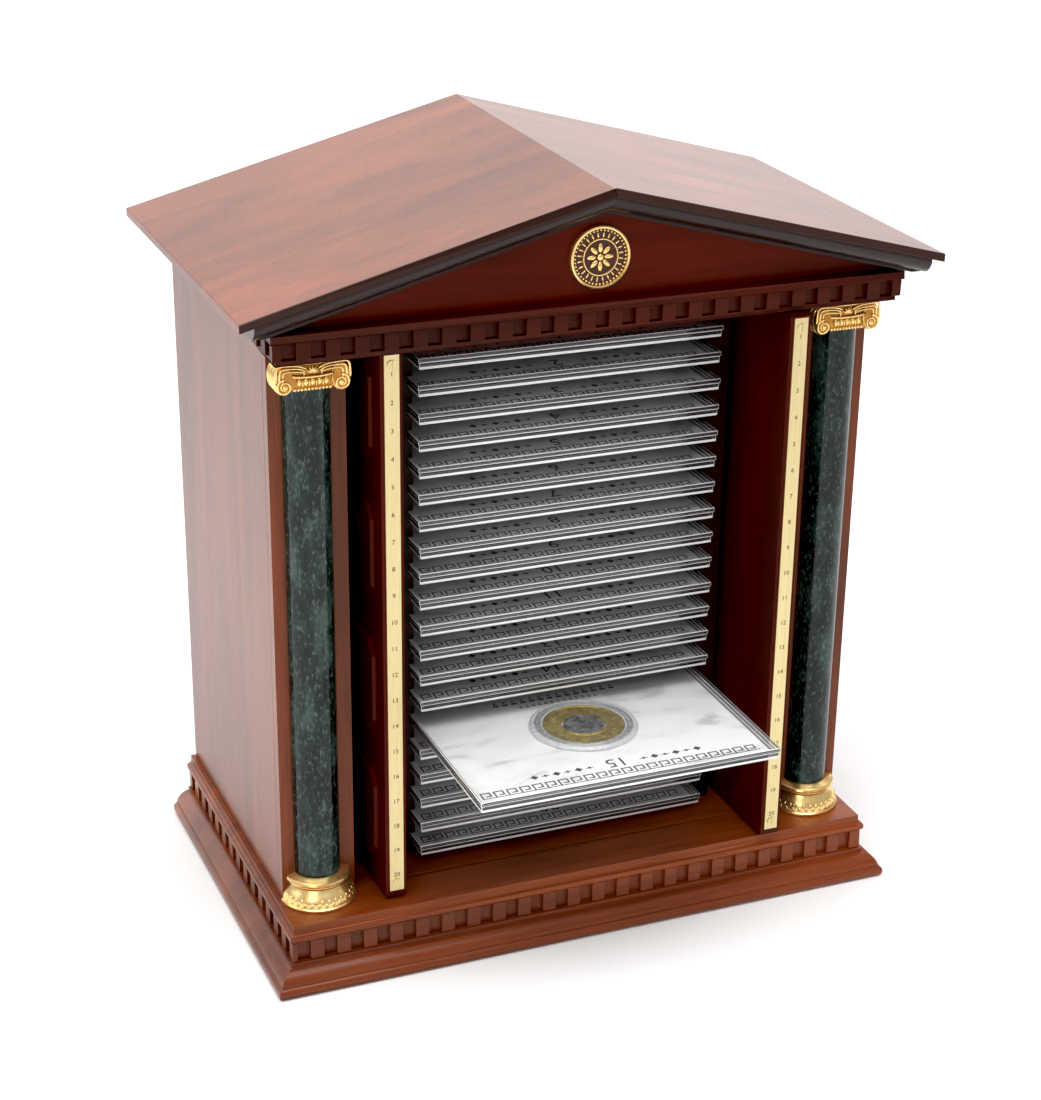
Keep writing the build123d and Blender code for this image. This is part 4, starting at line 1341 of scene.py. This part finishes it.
    def printed_card(self, low: Point, high: Point, front: float) -> None:
        """Cut the card and print its border and captions.

        Args:
            low: the card's lowest corner.
            high: its highest corner.
            front: the case's front edge.
        """
        card = Bench.block("card", low, high)
        Bench.pick_faces(card, lambda face: face.normal.z > 0.9)
        bpy.ops.mesh.inset(thickness=0.4 * MM)
        Bench.close_mesh()
        Bench.soften(card, 0.1 * MM, 1)
        self.parts["card"] = Bench.dress(card, self.finishes.card)
        side, top = high[0] - 2.0 * MM, high[2]
        key = self.meander(-side, side, front + self.margin, top)
        self.parts["print"] = Bench.dress(Bench.join("print", [key, self.captions(front, top)]),
                                          self.finishes.grey_ink)

    def capsule(self, rim: float, foil: float, thick: float, centre: Point) -> Piece:
        """Turn the capsule's frosted ring, with the well between its lips painted darker as shade.

        Args:
            rim: its outer radius.
            foil: its inner radius.
            thick: its height.
            centre: the middle of its underside.

        Returns:
            The ring.
        """
        outer = [(0.4, 0.0), (0.0, 0.5 * MM / thick), (0.1, 0.6), (0.8, 0.92), (1.6, 1.0),
                 (2.3, 0.90), (2.9, 0.50)]
        inner = [(2.3, 0.42), (1.7, 0.72), (1.0, 0.84), (0.4, 0.76), (0.0, 0.45), (0.0, 0.0)]
        ring = [(foil, 0.0)] + [(rim - r * MM, thick * h) for r, h in outer]
        ring += [(foil + r * MM, thick * h) for r, h in inner]
        piece = Bench.dress(Bench.lathe("capsule", ring, centre, (0.0, 0.0, 1.0), 80),
                            self.finishes.frosted)
        piece.data.materials.append(self.finishes.frosted_well)
        # Faces in the groove between the lips get the darker frosted plastic as painted shade.
        for polygon in piece.data.polygons:
            reach = math.hypot(polygon.center.x - centre[0], polygon.center.y - centre[1])
            if foil + 1.3 * MM < reach < rim - 2.4 * MM:
                polygon.material_index = 1
        return piece

    def insert(self, hole: float, foil: float, tall: float, centre: Point) -> Piece:
        """Turn the gold-faced insert and raise a ring of marks on it.

        Args:
            hole: the radius of its hole.
            foil: its outer radius.
            tall: its height.
            centre: the middle of its underside.

        Returns:
            The insert.
        """
        plate = [(hole, 0.0), (foil, 0.0), (foil, tall), (foil - 0.7 * MM, tall),
                 (foil - 0.9 * MM, tall * 0.8), (hole + 1.1 * MM, tall * 0.8),
                 (hole + 0.9 * MM, tall), (hole, tall), (hole, 0.0)]
        pieces = [Bench.lathe("insert", plate, centre, (0.0, 0.0, 1.0), 72)]
        for step in range(self.marks):
            angle = 2 * math.pi * step / self.marks
            spot = (math.cos(angle) * self.mark_radius,
                    centre[1] + math.sin(angle) * self.mark_radius, centre[2] + tall * 0.8)
            pieces.append(Bench.pebble("mark", spot, mm(1.25, 0.42, 0.16), (0.0, 0.0, angle), 6, 5))
        return Bench.dress(Bench.join("insert", pieces), self.finishes.gold_foil)

    def coin(self, radius: float, centre: Point) -> Piece:
        """Strike an uneven old coin.

        Args:
            radius: its mean radius.
            centre: the middle of its underside.

        Returns:
            The coin.
        """
        piece = Bench.drum("coin", radius * 0.93, 1.4 * MM,
                           (centre[0], centre[1], centre[2] + 0.9 * MM), sides=26)
        Bench.pick_faces(piece, lambda face: abs(face.normal.z) < 0.5)
        bpy.ops.transform.vertex_random(offset=0.65 * MM, uniform=0.0, normal=0.0, seed=5)
        Bench.close_mesh()
        for vertex in piece.data.vertices:
            vertex.co.z = max(centre[2] + 0.2 * MM, min(centre[2] + 1.6 * MM, vertex.co.z))
        Bench.pick_faces(piece, lambda face: face.normal.z > 0.9)
        bpy.ops.mesh.inset(thickness=1.0 * MM)
        bpy.ops.mesh.inset(thickness=2.2 * MM, depth=-0.35 * MM)
        bpy.ops.mesh.inset(thickness=2.0 * MM, depth=0.3 * MM)
        Bench.close_mesh()
        return Bench.dress(Bench.soften(piece, 0.15 * MM, 1), self.finishes.old_silver)

    def model(self) -> None:
        """Model the open case's pieces once, in their own places."""
        low, base_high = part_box("tray_15_base")
        lid_low, lid_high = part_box("tray_15_lid")
        self.parts["base"] = self.shell("base", low, base_high, True, self.floor)
        self.parts["lid"] = self.shell("lid", lid_low, lid_high, False, self.lid_plate)
        card_low, card_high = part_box("tray_15_card")
        self.printed_card(card_low, card_high, lid_low[1])
        rim_low, rim_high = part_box("tray_15_capsule")
        foil_low, foil_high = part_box("tray_15_insert")
        coin_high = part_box("tray_15_coin")[1]
        rim, foil = rim_high[0], foil_high[0]
        centre = (0.0, (rim_low[1] + rim_high[1]) / 2, card_high[2])
        self.parts["capsule"] = self.capsule(rim, foil, rim_high[2] - rim_low[2], centre)
        self.parts["insert"] = self.insert(coin_high[0] + 0.2 * MM, foil,
                                           foil_high[2] - foil_low[2], centre)
        self.parts["coin"] = self.coin(coin_high[0], centre)

    def build(self) -> None:
        """Copy the modelled case into all twenty places."""
        self.model()
        origin = Vector(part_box(tray_node(OPEN_TRAY))[0])
        for number in range(1, TRAY_COUNT + 1):
            body = "tray_{:02d}".format(number)
            low, high = (Vector(corner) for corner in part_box(tray_node(number)))
            shift = low - origin
            if number != OPEN_TRAY:
                shift.z = high.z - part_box(tray_node(OPEN_TRAY))[1][2]
            move = Matrix.Translation(shift)
            for part, model in self.parts.items():
                piece = Bench.copy(model, body + "_" + part + "_shape", move)
                seat(piece, body)
                if number != OPEN_TRAY:
                    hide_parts(body)
                elif part != "print":
                    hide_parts(body + "_" + part)
            card_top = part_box("tray_15_card")[1][2] + shift.z
            place = (Matrix.Translation((0.0, low.y + self.numeral_setback, card_top + 0.02 * MM))
                     @ Matrix.Rotation(math.pi, 4, "Z"))
            numeral = Bench.lettering(body + "_numeral", str(number), self.numeral_size, place,
                                      0.02 * MM)
            seat(Bench.dress(numeral, self.finishes.grey_ink), body)
        for model in self.parts.values():
            bpy.data.objects.remove(model)


# ---- studio ------------------------------------------------------------------------------
@dataclass(frozen=True)
class SoftBox:
    """One soft light: where it hangs, what it points at, its size in metres and its watts."""

    name: str
    place: Point
    aim: Point
    size: tuple[float, float]
    power: float

    def hang(self) -> None:
        """Hang the light."""
        data = bpy.data.lights.new(self.name, "AREA")
        data.shape = "RECTANGLE"
        data.size, data.size_y = self.size
        data.energy = self.power
        lamp = bpy.data.objects.new(self.name, data)
        lamp.location = self.place
        facing = Vector(self.aim) - Vector(self.place)
        lamp.rotation_euler = facing.to_track_quat("-Z", "Y").to_euler()
        bpy.context.scene.collection.objects.link(lamp)


@dataclass
class Studio:
    """White sweep, soft light and the camera."""

    finishes: Finishes
    camera_place: Point = (-0.3925, -0.9568, 0.5922)
    camera_aim: Point = (0.37520, 0.83210, -0.40844)
    camera_roll: float = 1.6
    lens: float = 78.725
    shift: tuple[float, float] = (-0.0730, 0.0502)
    floor_size: float = 14.0
    sky_strength: float = 0.48
    gamma: float = 0.92
    black_level: float = 0.007
    lamps: tuple[SoftBox, ...] = (
        SoftBox("backdrop_box", (0.6, 4.2, 1.1), (0.6, 0.0, 1.1), (8.0, 3.0), 66.0),
        SoftBox("sweep_box", (0.3, 2.1, 2.0), (0.3, 2.1, 0.0), (3.4, 2.4), 38.0),
        SoftBox("top_box", (-0.15, -0.45, 1.7), (-0.05, -0.1, 0.0), (2.0, 1.5), 33.0),
        SoftBox("front_box", (-1.1, -1.5, 1.0), (0.0, -0.05, 0.15), (0.8, 0.8), 5.0),
        SoftBox("left_box", (-1.5, 0.2, 1.0), (0.0, 0.0, 0.15), (0.9, 0.9), 3.0))

    def floor(self) -> None:
        """Lay the floor."""
        Bench.clear()
        bpy.ops.mesh.primitive_plane_add(size=self.floor_size, location=(0.0, 2.0, 0.0))
        floor = Bench.newest("floor")
        Bench.dress(floor, self.finishes.floor)
        floor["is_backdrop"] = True

    def camera(self) -> None:
        """Place the camera."""
        data = bpy.data.cameras.new("camera")
        data.lens = self.lens
        data.sensor_width = 36.0
        data.sensor_fit = "AUTO"
        data.shift_x, data.shift_y = self.shift
        data.clip_start, data.clip_end = 0.05, 50.0
        camera = bpy.data.objects.new("camera", data)
        camera.location = self.camera_place
        aim = Vector(self.camera_aim).normalized()
        right = aim.cross(Vector((0.0, 0.0, 1.0))).normalized()
        up = right.cross(aim)
        turn = math.radians(self.camera_roll)
        right, up = (right * math.cos(turn) + up * math.sin(turn),
                     up * math.cos(turn) - right * math.sin(turn))
        camera.rotation_mode = "QUATERNION"
        camera.rotation_quaternion = Matrix((right, up, -aim)).transposed().to_quaternion()
        bpy.context.scene.collection.objects.link(camera)
        bpy.context.scene.camera = camera

    def build(self) -> None:
        """Set up the whole studio."""
        world = bpy.data.worlds.new("white_tent")
        world.use_nodes = True
        sky = world.node_tree.nodes["Background"]
        sky.inputs["Color"].default_value = (1.0, 1.0, 1.0, 1.0)
        sky.inputs["Strength"].default_value = self.sky_strength
        bpy.context.scene.world = world
        view = bpy.context.scene.view_settings
        view.view_transform = "Standard"
        view.gamma = self.gamma
        view.use_curve_mapping = True
        view.curve_mapping.black_level = (self.black_level,) * 3
        view.curve_mapping.update()
        self.floor()
        for lamp in self.lamps:
            lamp.hang()
        self.camera()


# ---- the whole cabinet ---------------------------------------------------------------------
def corners() -> list[list[float]]:
    """The shown object's box as plain lists."""
    return [list(corner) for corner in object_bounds()]


def main() -> list[list[float]]:
    """Dress the frame's nodes and add the pieces that replace the plain ones.

    Returns:
        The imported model's box.
    """
    logging.basicConfig(level=logging.INFO, format="%(message)s")
    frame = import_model()
    modelled = corners()
    finishes = Finishes()
    Carcass(finishes).build(frame["nodes"])
    ColumnOrder(finishes).build()
    Medallion(finishes).build()
    NumberStrips(finishes).build()
    CoinCases(finishes).build()
    Studio(finishes).build()
    return modelled


if __name__ == "__main__":
    packed_box = main()
